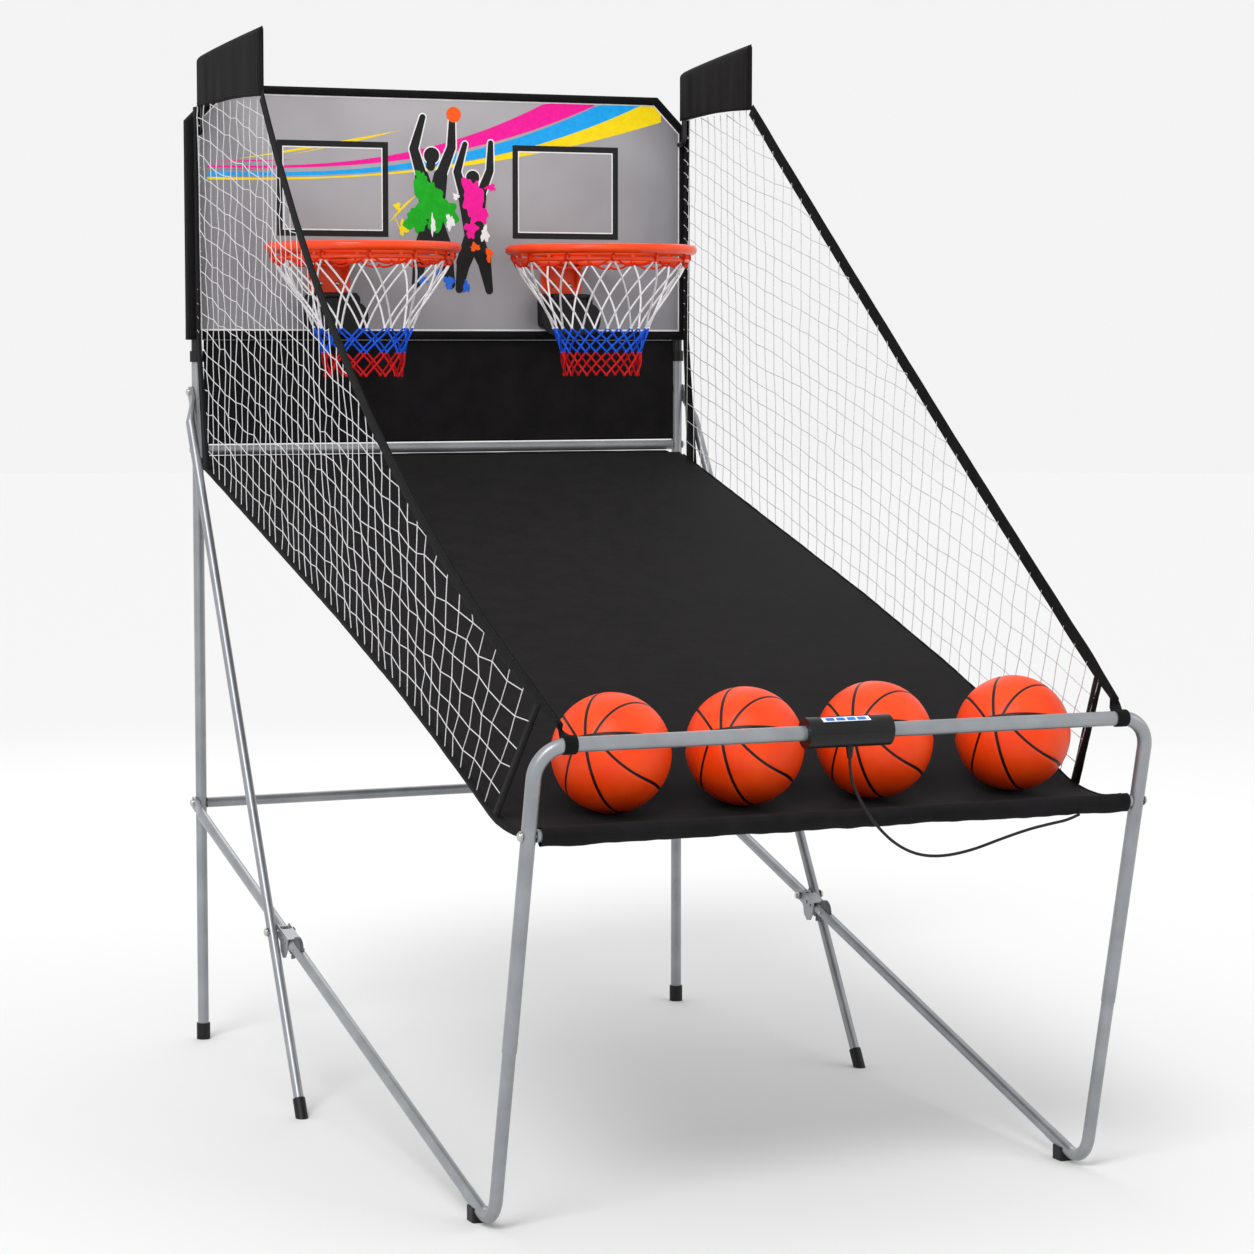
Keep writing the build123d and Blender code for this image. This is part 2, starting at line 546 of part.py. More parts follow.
for side, s in SIDES.items():
    x = s * HOOP_X
    with BuildPart() as hoop_rim:
        with Locations(at(x, HOOP_DEPTH, HOOP_Z)):
            Torus(HOOP_R, HOOP_WIRE)
        with Locations(at(x, HOOP_DEPTH, NET_RING_Z)):
            Torus(NET_RING_R, NET_RING_WIRE)
        for i in range(RING_STUDS):
            turn = radians(360 * (i + 0.5) / RING_STUDS)
            out = Vector(sin(turn), -cos(turn), 0)
            middle = at(x, HOOP_DEPTH, (HOOP_Z + NET_RING_Z) / 2) + out * (NET_RING_R + 2)
            with BuildSketch(Plane(origin=middle, x_dir=out, z_dir=(0, 0, 1))):
                Rectangle(4, 6)
            extrude(amount=9, both=True)
    save(hoop_rim, f"hoop_rim_{side}")

    with BuildPart() as hoop_bracket:
        with BuildSketch(Plane(origin=at(x, PANEL_FACE, 1416), x_dir=(1, 0, 0), z_dir=(0, -1, 0))):
            RectangleRounded(82, 72, 8)
        extrude(amount=PLATE_T)
        for cheek in (-30, 30):
            add(plate(x + cheek, 3.0, [(PANEL_FACE + 3, 1386), (PANEL_FACE + 3, 1450), (58, 1450), (52, 1442)]))
        add(plate(x, 64.0, [(PANEL_FACE + 3, 1446), (PANEL_FACE + 3, 1450), (60, 1450), (60, 1446)]))
        with Locations(at(x, HOOP_DEPTH, HOOP_Z)):
            Torus(HOOP_R, HOOP_WIRE, mode=Mode.SUBTRACT)
        with Locations(at(x, HOOP_DEPTH, NET_RING_Z)):
            Torus(NET_RING_R, NET_RING_WIRE + 0.3, mode=Mode.SUBTRACT)
        for dx, z in SCREWS:
            add(screw_shank(x + dx, z, SCREW_R + 0.05), mode=Mode.SUBTRACT)
    save(hoop_bracket, f"hoop_bracket_{side}")

    with BuildPart() as hoop_net:
        with BuildSketch(Plane(origin=at(x, HOOP_DEPTH, 0), x_dir=(1, 0, 0), z_dir=(0, -1, 0))):
            with BuildLine():
                outer = Spline((158, 1434), (126, 1390), (94, 1330), (78, 1280), (70, 1226))
                Line(outer @ 1, (68, 1226))
                inner = Spline((68, 1226), (76, 1280), (92, 1330), (124, 1390), (156, 1434))
                Line(inner @ 1, (158, 1434))
            make_face()
        revolve(axis=Axis(at(x, HOOP_DEPTH, 0), (0, 0, 1)))
    save(hoop_net, f"hoop_net_{side}")

# ---- scoring sensors: a box under each hoop with a sprung paddle that the net pushes ----
SENSOR_PIVOT = (66.0, 1373.0)
for side, s in SIDES.items():
    x = s * HOOP_X
    with BuildPart() as sensor_box:
        with BuildSketch(Plane(origin=at(x, PANEL_FACE, 1346), x_dir=(1, 0, 0), z_dir=(0, -1, 0))):
            RectangleRounded(96, 66, 14)
        extrude(amount=42)
        with BuildSketch(Plane(origin=at(x, PANEL_FACE + 2.5, 1346), x_dir=(1, 0, 0), z_dir=(0, -1, 0))):
            RectangleRounded(90, 60, 11)
        extrude(amount=37, mode=Mode.SUBTRACT)
        for ear in (-35, 35):
            add(plate(x + ear, 4.0, [(PANEL_FACE + 40, 1365), (PANEL_FACE + 40, 1378), (72, 1378), (72, 1365)]))
        add(x_rod(x - 40, x + 40, *SENSOR_PIVOT, 2.05), mode=Mode.SUBTRACT)
    save(sensor_box, f"sensor_box_{side}")

    with BuildPart() as sensor_lever:
        add(x_rod(x - 37, x + 37, *SENSOR_PIVOT, 2.0))
        add(x_rod(x - 32, x + 32, *SENSOR_PIVOT, 4.5))
        add(plate(x, 62.0, [(64.5, 1373), (67.5, 1373), (69.5, 1356), (66.5, 1356)]))
        with BuildSketch(Plane(origin=at(x, 66.5, 1332), x_dir=(1, 0, 0), z_dir=(0, -1, 0))):
            RectangleRounded(118, 60, 26)
        extrude(amount=3.0)
    save(sensor_lever, f"sensor_lever_{side}")

with BuildPart() as sensor_switches:
    for s in SIDES.values():
        x = s * HOOP_X
        with Locations(at(x, PANEL_FACE + 24, 1346)):
            Box(20, 16, 28)
        with Locations(at(x - 28, PANEL_FACE + 24, 1346)):
            Box(14, 10, 24)
save(sensor_switches, "sensor_switches")

# ---- ball return ramp: one cloth from the rear tube to a sleeve round the front tube ----
SLEEVE_R = CROSS_R + 0.3
RAMP_TOP = [(13, 1077), (400, 966), (800, 850), (1100, 755), (1250, 702), (1400, 646), (1507, 603.2),
            (1570, 595.4), (1608, 594.5), (RAMP_FRONT_DEPTH - 2, RAMP_FRONT_Z + SLEEVE_R + CLOTH)]


def ramp_height(depth):
    """Height of the cloth at a depth, straight between the points of its profile."""
    for (d0, z0), (d1, z1) in zip(RAMP_TOP, RAMP_TOP[1:]):
        if depth <= d1:
            return z0 + (z1 - z0) * (depth - d0) / (d1 - d0)
    return RAMP_TOP[-1][1]


with BuildPart() as ramp:
    with BuildSketch(Plane(origin=(-RAMP_HALF, POST_Y, 0), x_dir=(0, -1, 0), z_dir=(-1, 0, 0))):
        with BuildLine():
            Polyline(*RAMP_TOP, *[(depth, z - CLOTH) for depth, z in reversed(RAMP_TOP)], close=True)
        make_face()
    extrude(amount=-2 * RAMP_HALF)
    add(x_rod(-RAMP_HALF, RAMP_HALF, RAMP_FRONT_DEPTH, RAMP_FRONT_Z, SLEEVE_R + CLOTH))
    add(x_rod(-RAMP_HALF, RAMP_HALF, RAMP_FRONT_DEPTH, RAMP_FRONT_Z, SLEEVE_R), mode=Mode.SUBTRACT)
    add(plate(0, 2 * 460, [(-6, 1079.6), (13, 1077), (13, 1077 - CLOTH), (-6, 1079.6 - CLOTH)]))
save(ramp, "ramp")


# ---- side nets, the webbing along their long edges and their border tapes ----
NET_X = 482.0
NET_T = 1.5
NET_FAR = 19.0            # depth of the rear border, and of the net in front of it
BORDER_W = 24.0
NET_REAR = NET_FAR + BORDER_W
NET_FRONT = 1500.0
STRAP_FROM = (465.0, 364.0, 1711.0)
STRAP_TO = (449.0, 1688.0, 748.0)
STRAP_OUT = 40.0          # how far the webbing bows outwards between its ends
STRAP_SAG = 66.0
STRAP_H = 22.0
STRAP_TAIL = 8.0          # its height where it narrows into the loop
STEPS = 6
LOOP_X = 446.0
LOOP_HALF = 10.0


def strap_at(s, t, drop=0.0):
    bow = 4 * t * (1 - t)
    x, depth, z = (a + (b - a) * t for a, b in zip(STRAP_FROM, STRAP_TO))
    return at(s * (x + STRAP_OUT * bow), depth, z - STRAP_SAG * bow - drop)


with BuildPart() as edge_straps:
    for s in SIDES.values():
        for i in range(STEPS):
            a, b = i / STEPS, (i + 1) / STEPS
            drop = STRAP_H if i < STEPS - 1 else STRAP_TAIL
            add(skin([strap_at(s, a), strap_at(s, b), strap_at(s, b, drop), strap_at(s, a, STRAP_H)], 2.0))
        add(x_rod(s * LOOP_X - LOOP_HALF, s * LOOP_X + LOOP_HALF, RAIL_DEPTH, RAIL_Z, RAIL_R + 2.4))
    add(bent_rod(rail_path, RAIL_BEND, RAIL_R + 0.3), mode=Mode.SUBTRACT)
save(edge_straps, "edge_straps")


def net_tops(s):
    """Points just under the webbing, the last one part of the way along its last length."""
    tops = [strap_at(s, i / STEPS, STRAP_H + 0.4) for i in range(STEPS)]
    end = strap_at(s, 1, STRAP_TAIL + 0.4)
    return tops + [tops[-1] + (end - tops[-1]) * 0.7]


def net_foot(s, depth):
    return at(s * NET_X, depth, ramp_height(depth) - 4)


def net_rear_top(s, depth):
    """A point on the net's upper edge under the wing, above its foot at the same depth."""
    return net_foot(s, depth) + Vector(s * 5, 0, WING_BOTTOM - 1.0 - (ramp_height(depth) - 4))


with BuildPart() as side_nets:
    for s in SIDES.values():
        tops = net_tops(s)
        feet = [net_foot(s, NET_REAR + (NET_FRONT - NET_REAR) * i / STEPS) for i in range(STEPS + 1)]
        add(skin([feet[0], net_rear_top(s, NET_REAR), tops[0]], NET_T))
        for i in range(STEPS):
            add(skin([tops[i], tops[i + 1], feet[i + 1]], NET_T))
            add(skin([tops[i], feet[i + 1], feet[i]], NET_T))
save(side_nets, "side_nets")

with BuildPart() as net_borders:
    for s in SIDES.values():
        step = at(0, BORDER_W, 0) - at(0, 0, 0)
        gap = step * (0.5 / BORDER_W)
        low, high = net_foot(s, NET_REAR), net_rear_top(s, NET_REAR)
        add(skin([low - gap, high - gap, high - step, low - step], NET_T))
        peak, heel = net_tops(s)[-1], net_foot(s, NET_FRONT)
        under_strap = peak + step + (heel - peak) * 0.19
        add(skin([peak + gap, heel + gap, heel + step, under_strap], NET_T))
save(net_borders, "net_borders")

# ---- balls ----
for number, x in enumerate(BALL_X, start=1):
    with BuildPart() as ball:
        with Locations(at(x, BALL_DEPTH, BALL_Z)):
            Sphere(BALL_R)
            Sphere(BALL_R - 3.0, mode=Mode.SUBTRACT)
    save(ball, f"ball_{number}")

# ---- controller: a case in two halves round the rail, with four buttons on a tilted face ----
CASE_WALL = 1.8
FACE_TILT = 25.0
FACE_AT = 21.2            # distance of the button face from the rail's axis
face_out = Vector(0, -sin(radians(FACE_TILT)), cos(radians(FACE_TILT)))


def face_plane(x, height):
    """A plane parallel to the button face, at a distance from the rail's axis."""
    return Plane(origin=at(x, RAIL_DEPTH, RAIL_Z) + face_out * height, x_dir=(1, 0, 0), z_dir=face_out)


def case_tube(radius_out, radius_in, half):
    with BuildPart(mode=Mode.PRIVATE) as tube:
        add(x_rod(CASE_X - half, CASE_X + half, RAIL_DEPTH, RAIL_Z, radius_out))
        add(x_rod(CASE_X - half - 1, CASE_X + half + 1, RAIL_DEPTH, RAIL_Z, radius_in), mode=Mode.SUBTRACT)
    return tube.part


BUTTON_X = [CASE_X - 6 + 17.0 * i for i in (-1.5, -0.5, 0.5, 1.5)]
with BuildPart() as controller_shell_top:
    add(case_tube(CASE_R, CASE_R - CASE_WALL, CASE_HALF))
    for end in (-1, 1):
        x = CASE_X + end * (CASE_HALF - 2)
        add(x_rod(x - 2, x + 2, RAIL_DEPTH, RAIL_Z, CASE_R))
    with BuildSketch(face_plane(CASE_X - 6, 18.6)):
        Rectangle(86, 17)
    extrude(amount=3.0)
    with BuildSketch(face_plane(CASE_X - 6, FACE_AT)):
        Rectangle(78, 13)
    extrude(amount=4.0, mode=Mode.SUBTRACT)
    for x in BUTTON_X:
        with BuildSketch(face_plane(x, 17.0)):
            RectangleRounded(13.4, 7.4, 2.0)
        extrude(amount=8.0, mode=Mode.SUBTRACT)
    add(x_rod(CASE_X - 70, CASE_X + 70, RAIL_DEPTH, RAIL_Z, RAIL_R + 0.05), mode=Mode.SUBTRACT)
    split(bisect_by=Plane(origin=at(0, RAIL_DEPTH, RAIL_Z + 0.1), z_dir=(0, 0, 1)), keep=Keep.TOP)
save(controller_shell_top, "controller_shell_top")

CORD_X = -7.0
CORD_R = 2.25
GLAND_LOW = 687.0
with BuildPart() as controller_shell_bottom:
    add(case_tube(CASE_R, CASE_R - CASE_WALL, CASE_HALF))
    for end in (-1, 1):
        x = CASE_X + end * (CASE_HALF - 2)
        add(x_rod(x - 2, x + 2, RAIL_DEPTH, RAIL_Z, CASE_R))
    with BuildSketch(Plane(origin=at(CORD_X, RAIL_DEPTH, GLAND_LOW), z_dir=(0, 0, 1))):
        Circle(3.6)
    with BuildSketch(Plane(origin=at(CORD_X, RAIL_DEPTH, RAIL_Z - CASE_R + 1), z_dir=(0, 0, 1))):
        Circle(6.0)
    loft()
    add(x_rod(CASE_X - 70, CASE_X + 70, RAIL_DEPTH, RAIL_Z, RAIL_R + 0.05), mode=Mode.SUBTRACT)
    split(bisect_by=Plane(origin=at(0, RAIL_DEPTH, RAIL_Z - 0.1), z_dir=(0, 0, 1)), keep=Keep.BOTTOM)
save(controller_shell_bottom, "controller_shell_bottom")

with BuildPart() as controller_board:
    with BuildSketch(face_plane(CASE_X - 6, 12.6)):
        Rectangle(84, 14)
    extrude(amount=1.4)
save(controller_board, "controller_board")

for number, x in enumerate(BUTTON_X, start=1):
    with BuildPart() as button:
        with BuildSketch(face_plane(x, 15.6)):
            RectangleRounded(13.0, 7.0, 1.8)
        extrude(amount=6.6)
        fillet(button.faces().sort_by(Axis.Z)[-1].edges(), 0.6)
    save(button, f"button_{number}")

with BuildPart() as batteries:
    for dx in (-42.0, 30.0, 52.0):
        with BuildSketch(Plane(origin=at(CASE_X + dx - 4, RAIL_DEPTH, RAIL_Z - 15.7), z_dir=(0, 0, 1))):
            Circle(10.0)
        extrude(amount=3.2)
save(batteries, "batteries")

# ---- sensor lead: from the controller's gland down, along under the ramp's edge and up to its sleeve ----
CORD_ROUTE = [
    (-7.0, 1704.0, 686.7), (-6.0, 1703.8, 664.0), (2.0, 1703.0, 640.0), (18.0, 1702.0, 612.0), (41.0, 1700.5, 583.0),
    (71.0, 1699.0, 556.0), (108.0, 1697.5, 538.0), (150.0, 1696.0, 533.0), (199.0, 1694.5, 539.0),
    (250.0, 1692.5, 553.0), (300.0, 1690.0, 565.0), (343.0, 1686.5, 571.0), (372.0, 1682.5, 574.0),
    (392.0, 1678.5, 580.5),
]


def arc_radii(route):
    """One radius for each corner: 0.45 of its shorter run over the tangent of half its turn."""
    radii = []
    for before, corner, after in zip(route, route[1:], route[2:]):
        into, out = corner - before, after - corner
        half_turn = radians(into.get_angle(out)) / 2
        radii.append(0.45 * min(into.length, out.length) / tan(half_turn))
    return radii


route = [at(*point) for point in CORD_ROUTE]
radii = arc_radii(route)
with BuildPart() as controller_cord:
    with BuildLine() as lead:
        FilletPolyline(*route, radius=radii)
    with BuildSketch(Plane(origin=lead.line @ 0, z_dir=lead.line % 0)):
        Circle(CORD_R)
    sweep(path=lead.line)
save(controller_cord, "controller_cord")
lead_length = sum(edge.length for edge in lead.line.edges())
print("cord radii", [round(r) for r in radii], "length", round(lead_length, 1))
print("cord volume ratio", round(controller_cord.part.volume / (pi * CORD_R ** 2 * lead_length), 4))
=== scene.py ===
# %% [markdown]
# A folding arcade basketball machine: two hoops on a grey backboard, a black cloth ramp that rolls
# the balls back, netted sides, and a frame of silver tubes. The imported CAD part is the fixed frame.
# Blender gives its hard parts their finishes, and makes the cloth, nets, cords, prints and balls
# again, because those are soft or too fine for CAD. Sizes are in millimetres, as in the CAD, and
# one function turns them into metres in the shared frame.

# %% load the frame
import math
import random

import bmesh
import bpy
from mathutils import Matrix, Vector, noise


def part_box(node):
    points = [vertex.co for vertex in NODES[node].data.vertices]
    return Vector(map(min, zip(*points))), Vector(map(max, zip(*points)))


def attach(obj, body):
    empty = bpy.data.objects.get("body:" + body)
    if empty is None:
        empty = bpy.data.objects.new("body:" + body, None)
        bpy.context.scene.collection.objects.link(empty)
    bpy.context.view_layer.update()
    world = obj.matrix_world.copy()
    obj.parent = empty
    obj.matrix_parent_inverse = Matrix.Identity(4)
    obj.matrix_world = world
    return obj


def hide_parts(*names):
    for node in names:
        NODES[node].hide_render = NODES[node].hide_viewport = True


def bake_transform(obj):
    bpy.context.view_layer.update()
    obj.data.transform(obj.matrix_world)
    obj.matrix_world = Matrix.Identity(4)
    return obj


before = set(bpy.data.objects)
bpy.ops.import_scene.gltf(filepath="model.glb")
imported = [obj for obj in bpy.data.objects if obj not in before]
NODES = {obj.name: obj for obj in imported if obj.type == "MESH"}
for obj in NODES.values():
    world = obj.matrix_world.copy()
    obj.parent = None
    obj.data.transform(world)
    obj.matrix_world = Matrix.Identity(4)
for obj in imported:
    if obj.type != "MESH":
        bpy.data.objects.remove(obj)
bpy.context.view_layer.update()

# %% one frame for every piece
MM = 0.001
POST_LOW, POST_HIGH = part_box("rear_post_left")
POST_Y = (POST_LOW.y + POST_HIGH.y) / 2
SIDES = {"left": -1, "right": 1}


def at(x, depth, z):
    """A point in metres: x to the right, depth in front of the rear posts, z up, all in millimetres."""
    return Vector((x * MM, POST_Y - depth * MM, z * MM))


print("rear posts stand at y", round(POST_Y, 4))

# %% [markdown]
# The camera comes first. It stands a little left of the machine, about as high as its ramp, and far
# away with a long lens, so that the upright tubes stay nearly parallel.

# %% camera
camera_data = bpy.data.cameras.new("camera")
camera_data.sensor_width = 36
camera_data.lens = 100.2
camera = bpy.data.objects.new("camera", camera_data)
camera.location = (-2.2861, -5.3291, 1.2818)
camera.rotation_euler = (math.radians(85.39), 0, math.radians(-23.28))
bpy.context.scene.collection.objects.link(camera)
bpy.context.scene.camera = camera
print("camera", camera.location[:])

# %% [markdown]
# A plain studio: a pale floor, a pale room and soft lights. A wide, distant lamp high on the left in
# front is the key, and lights the floor evenly. A small soft box on each side puts a highlight along
# the tubes, and one from behind draws the edges of the black cloth.

# %% floor, room and lights
scene = bpy.context.scene
scene.view_settings.view_transform = "Standard"


def linear(text):
    """An sRGB hex colour as the linear RGBA values that a shader takes."""
    parts = [int(text[i:i + 2], 16) / 255 for i in (1, 3, 5)]
    return [c / 12.92 if c <= 0.04045 else ((c + 0.055) / 1.055) ** 2.4 for c in parts] + [1.0]


def put(name, bm, material=None, smooth=True):
    """Makes one object from a bmesh, with its place in its mesh."""
    mesh = bpy.data.meshes.new(name)
    bm.to_mesh(mesh)
    bm.free()
    piece = bpy.data.objects.new(name, mesh)
    bpy.context.scene.collection.objects.link(piece)
    if material is not None:
        mesh.materials.append(material)
    mesh.polygons.foreach_set("use_smooth", [smooth] * len(mesh.polygons))
    return piece


def add(tree, kind, values=None, links=None, **settings):
    """Adds one node: its settings, its plain input values, and the sockets that feed its inputs."""
    node = tree.nodes.new("ShaderNode" + kind)
    for key, value in settings.items():
        setattr(node, key, value)
    for key, value in (values or {}).items():
        node.inputs[key].default_value = value
    for key, socket in (links or {}).items():
        tree.links.new(socket, node.inputs[key])
    return node


def material(name, **values):
    """A new material with plain values on its shader. Gives the material, its tree and its shader."""
    made = bpy.data.materials.new(name)
    made.use_nodes = True
    shader = made.node_tree.nodes["Principled BSDF"]
    for key, value in values.items():
        shader.inputs[key.replace("_", " ")].default_value = value
    return made, made.node_tree, shader


FLOOR_SIZE = 60
floor_paint, tree, shader = material("studio_floor_paint", Roughness=0.9)
shader.inputs["Base Color"].default_value = linear("#e2e2e2")
bm = bmesh.new()
bmesh.ops.create_circle(bm, cap_ends=True, segments=96, radius=FLOOR_SIZE / 2)
floor = put("studio_floor", bm, floor_paint, smooth=False)

world = bpy.data.worlds.new("studio_room")
world.use_nodes = True
world.node_tree.nodes["Background"].inputs["Color"].default_value = linear("#ffffff")
world.node_tree.nodes["Background"].inputs["Strength"].default_value = 0.9
scene.world = world

KEY_FROM = Vector((-3.2, -3.6, 5.4))
key_data = bpy.data.lights.new("key_light", "SUN")
key_data.energy = 1.3
key_data.angle = math.radians(22)
key = bpy.data.objects.new("key_light", key_data)
key.rotation_euler = KEY_FROM.to_track_quat("Z", "Y").to_euler()
scene.collection.objects.link(key)
LIGHTS = {
    "near": ((-3.4, -3.0, 2.6), 1.4, 26),
    "fill": ((4.2, -2.6, 2.4), 1.8, 18),
    "edge": ((1.2, 4.2, 3.4), 2.4, 30),
}
for name, (place, size, power) in LIGHTS.items():
    lamp_data = bpy.data.lights.new(name + "_light", "AREA")
    lamp_data.shape = "SQUARE"
    lamp_data.size = size
    lamp_data.energy = power
    lamp = bpy.data.objects.new(name + "_light", lamp_data)
    lamp.location = place
    lamp.rotation_euler = (Vector((0, 0, 0.9)) - lamp.location).to_track_quat("-Z", "Y").to_euler()
    scene.collection.objects.link(lamp)
print("lights", list(LIGHTS))

# %% [markdown]
# The materials. Each starts from what the real one is, and its pattern has a real size.

# %% helpers for patterns
def spots(tree, size_mm, detail=2.0, space="Object", rough=0.5):
    """Soft noise whose spots are size_mm across."""
    where = add(tree, "TexCoord")
    values = {"Scale": 1000 / size_mm, "Detail": detail, "Roughness": rough}
    return add(tree, "TexNoise", values, {"Vector": where.outputs[space]})


def ramp_between(tree, socket, low, high, start=0.3, end=0.7):
    """Turns a 0 to 1 value into a colour between two hex colours."""
    ramp = add(tree, "ValToRGB", links={"Fac": socket})
    ramp.color_ramp.elements[0].position = start
    ramp.color_ramp.elements[1].position = end
    ramp.color_ramp.elements[0].color = linear(low)
    ramp.color_ramp.elements[1].color = linear(high)
    return ramp.outputs["Color"]


def raise_by(tree, shader, height, depth_mm, strength=1.0):
    """Feeds a height pattern to the shader as bumps of depth_mm."""
    bump = add(tree, "Bump", {"Strength": strength, "Distance": depth_mm * MM}, {"Height": height})
    tree.links.new(bump.outputs["Normal"], shader.inputs["Normal"])


def vary_roughness(tree, shader, socket, low, high):
    spread = add(tree, "MapRange", {"To Min": low, "To Max": high}, {"Value": socket})
    tree.links.new(spread.outputs["Result"], shader.inputs["Roughness"])


# %% metals
def powder_coat():
    """Silver powder coat on steel tube: metal flake in a resin film, with a fine orange peel."""
    made, tree, shader = material("silver_powder_coat_on_steel", Metallic=0.55, IOR=1.5)
    shader.inputs["Coat Weight"].default_value = 0.25
    shader.inputs["Coat Roughness"].default_value = 0.2
    tone = spots(tree, 60, detail=3)
    colour = ramp_between(tree, tone.outputs["Fac"], "#85888c", "#989b9f")
    tree.links.new(colour, shader.inputs["Base Color"])
    vary_roughness(tree, shader, tone.outputs["Fac"], 0.3, 0.42)
    peel = spots(tree, 1.8)
    raise_by(tree, shader, peel.outputs["Fac"], 0.08, 0.5)
    return made


def plain_steel(name, low, high, rough, grain_mm):
    """Zinc-plated steel: a metal whose tone changes in small patches."""
    made, tree, shader = material(name, Metallic=1.0)
    tone = spots(tree, grain_mm, detail=4)
    tree.links.new(ramp_between(tree, tone.outputs["Fac"], low, high), shader.inputs["Base Color"])
    vary_roughness(tree, shader, tone.outputs["Fac"], rough - 0.06, rough + 0.08)
    return made


# Powder coat is an even mid-grey with a soft gloss; zinc plate is bright, pale and finely mottled.
silver = powder_coat()
zinc = plain_steel("bright_zinc_plated_steel", "#b2b4b1", "#cfd0cb", 0.26, 3)


def painted_steel(name, low, high):
    """Wet paint on steel rod: thick and glossy, with a slight sag in its surface."""
    made, tree, shader = material(name, Roughness=0.34, IOR=1.5)
    shader.inputs["Specular IOR Level"].default_value = 0.35
    shader.inputs["Coat Weight"].default_value = 0.12
    shader.inputs["Coat Roughness"].default_value = 0.1
    tone = spots(tree, 40, detail=2)
    tree.links.new(ramp_between(tree, tone.outputs["Fac"], low, high), shader.inputs["Base Color"])
    raise_by(tree, shader, spots(tree, 5).outputs["Fac"], 0.15, 0.4)
    return made


# Orange for the hoops, and black for the board's frame and the wing bars: both shine along a rod.
hoop_paint = painted_steel("orange_enamel_on_steel", "#ea3c04", "#f24806")
black_paint = painted_steel("black_enamel_on_steel", "#0c0c0c", "#131314")


# %% plastics
def moulded(name, low, high, rough, grain_mm=1.2, bump_mm=0.05, sheen=0.0):
    """Injection-moulded plastic: an even colour with a fine spark-eroded grain that dulls its gloss."""
    made, tree, shader = material(name, IOR=1.49)
    shader.inputs["Specular IOR Level"].default_value = 0.3
    shader.inputs["Sheen Weight"].default_value = sheen
    tone = spots(tree, 25, detail=2)
    tree.links.new(ramp_between(tree, tone.outputs["Fac"], low, high), shader.inputs["Base Color"])
    vary_roughness(tree, shader, tone.outputs["Fac"], rough - 0.05, rough + 0.05)
    raise_by(tree, shader, spots(tree, grain_mm).outputs["Fac"], bump_mm, 0.5)
    return made


# Polypropylene is dull, ABS is smoother, nylon is greyer, silicone is soft and even, and film is flat.
black_plastic = moulded("black_polypropylene_moulded", "#0d0d0e", "#151516", 0.5)
latch_plastic = moulded("dark_grey_nylon_moulded", "#4c4f52", "#5a5d60", 0.48)
case_plastic = moulded("black_abs_satin_moulded", "#0c0c0d", "#131314", 0.36)
button_plastic = moulded("blue_silicone_button", "#1666c4", "#1f74d4", 0.4)
label_film = moulded("white_polyester_label_film", "#e3e8ee", "#f0f3f6", 0.35)
switch_plastic = moulded("black_phenolic_switch_body", "#1a1a1b", "#232324", 0.5)
cell_sleeve = moulded("battery_cell_sleeve", "#2d5f38", "#3a7446", 0.3)
pcb_mask = moulded("green_solder_mask_on_fibreglass", "#0d4a2a", "#156238", 0.35)
pvc = moulded("black_pvc_cable_sheath", "#0b0b0c", "#121213", 0.42)


# %% cloth, webbing and cords
WAVE_TURN = 20              # the wave texture turns through this many radians in one unit


def woven(name, low, high, thread_mm, bump_mm=0.25, sheen=0.02, space="Object"):
    """Plain-woven polyester: two sets of threads that cross, dull, with a faint sheen. Real threads are
    about 0.4 mm apart, and they are drawn coarser, as thread_mm says, so that the weave shows."""
    made, tree, shader = material(name, IOR=1.5)
    shader.inputs["Sheen Weight"].default_value = sheen
    shader.inputs["Sheen Roughness"].default_value = 0.5
    shader.inputs["Specular IOR Level"].default_value = 0.08
    where = add(tree, "TexCoord")
    thread = {"Scale": 1000 / thread_mm / WAVE_TURN * 2 * math.pi, "Distortion": 0.3, "Detail": 1.0}
    sets = []
    for direction in ("X", "Y", "Z"):
        wave = add(tree, "TexWave", thread, {"Vector": where.outputs[space]}, bands_direction=direction)
        sets.append(wave.outputs["Fac"])
    crossed = add(tree, "Math", links={0: sets[0], 1: sets[1]}, operation="ADD")
    crossed = add(tree, "Math", links={0: crossed.outputs[0], 1: sets[2]}, operation="ADD")
    slub = spots(tree, 35, detail=4, space=space)
    # painted shade: the weave's height is added to the colour, so the cloth is darker between its threads
    tone = add(tree, "Math", {1: 0.12}, {0: crossed.outputs[0]}, operation="MULTIPLY")
    tone = add(tree, "Math", links={0: tone.outputs[0], 1: slub.outputs["Fac"]}, operation="ADD")
    tree.links.new(ramp_between(tree, tone.outputs[0], low, high, 0.35, 0.95), shader.inputs["Base Color"])
    vary_roughness(tree, shader, slub.outputs["Fac"], 0.72, 0.9)
    raise_by(tree, shader, crossed.outputs[0], bump_mm, 0.35)
    return made


# The ramp's cloth is the palest black, the sleeve is denser, and webbing is the coarsest weave.
ramp_cloth = woven("black_polyester_oxford_cloth", "#100f10", "#1c1a1c", 2.4)
border_cloth = woven("black_polyester_sleeve_cloth", "#0c0c0d", "#171718", 2.0)
webbing = woven("black_polypropylene_webbing", "#0b0b0c", "#171718", 2.6, bump_mm=0.5)
stitching = moulded("black_polyester_sewing_thread", "#1c1c1e", "#28282a", 0.6)


def twisted(name, low, high, lay_mm=3.0):
    """Soft laid cord: pale strands with painted shade in the gaps between them, in spots as long as one turn
    of the lay.
    """
    made, tree, shader = material(name, Roughness=0.8, IOR=1.5)
    shader.inputs["Specular IOR Level"].default_value = 0.2
    # painted shade: this one noise gives both colour and bump, so the cord is darker where it sinks between
    # strands
    tone = spots(tree, lay_mm, detail=3)
    tree.links.new(ramp_between(tree, tone.outputs["Fac"], low, high), shader.inputs["Base Color"])
    raise_by(tree, shader, tone.outputs["Fac"], 0.3, 0.5)
    return made


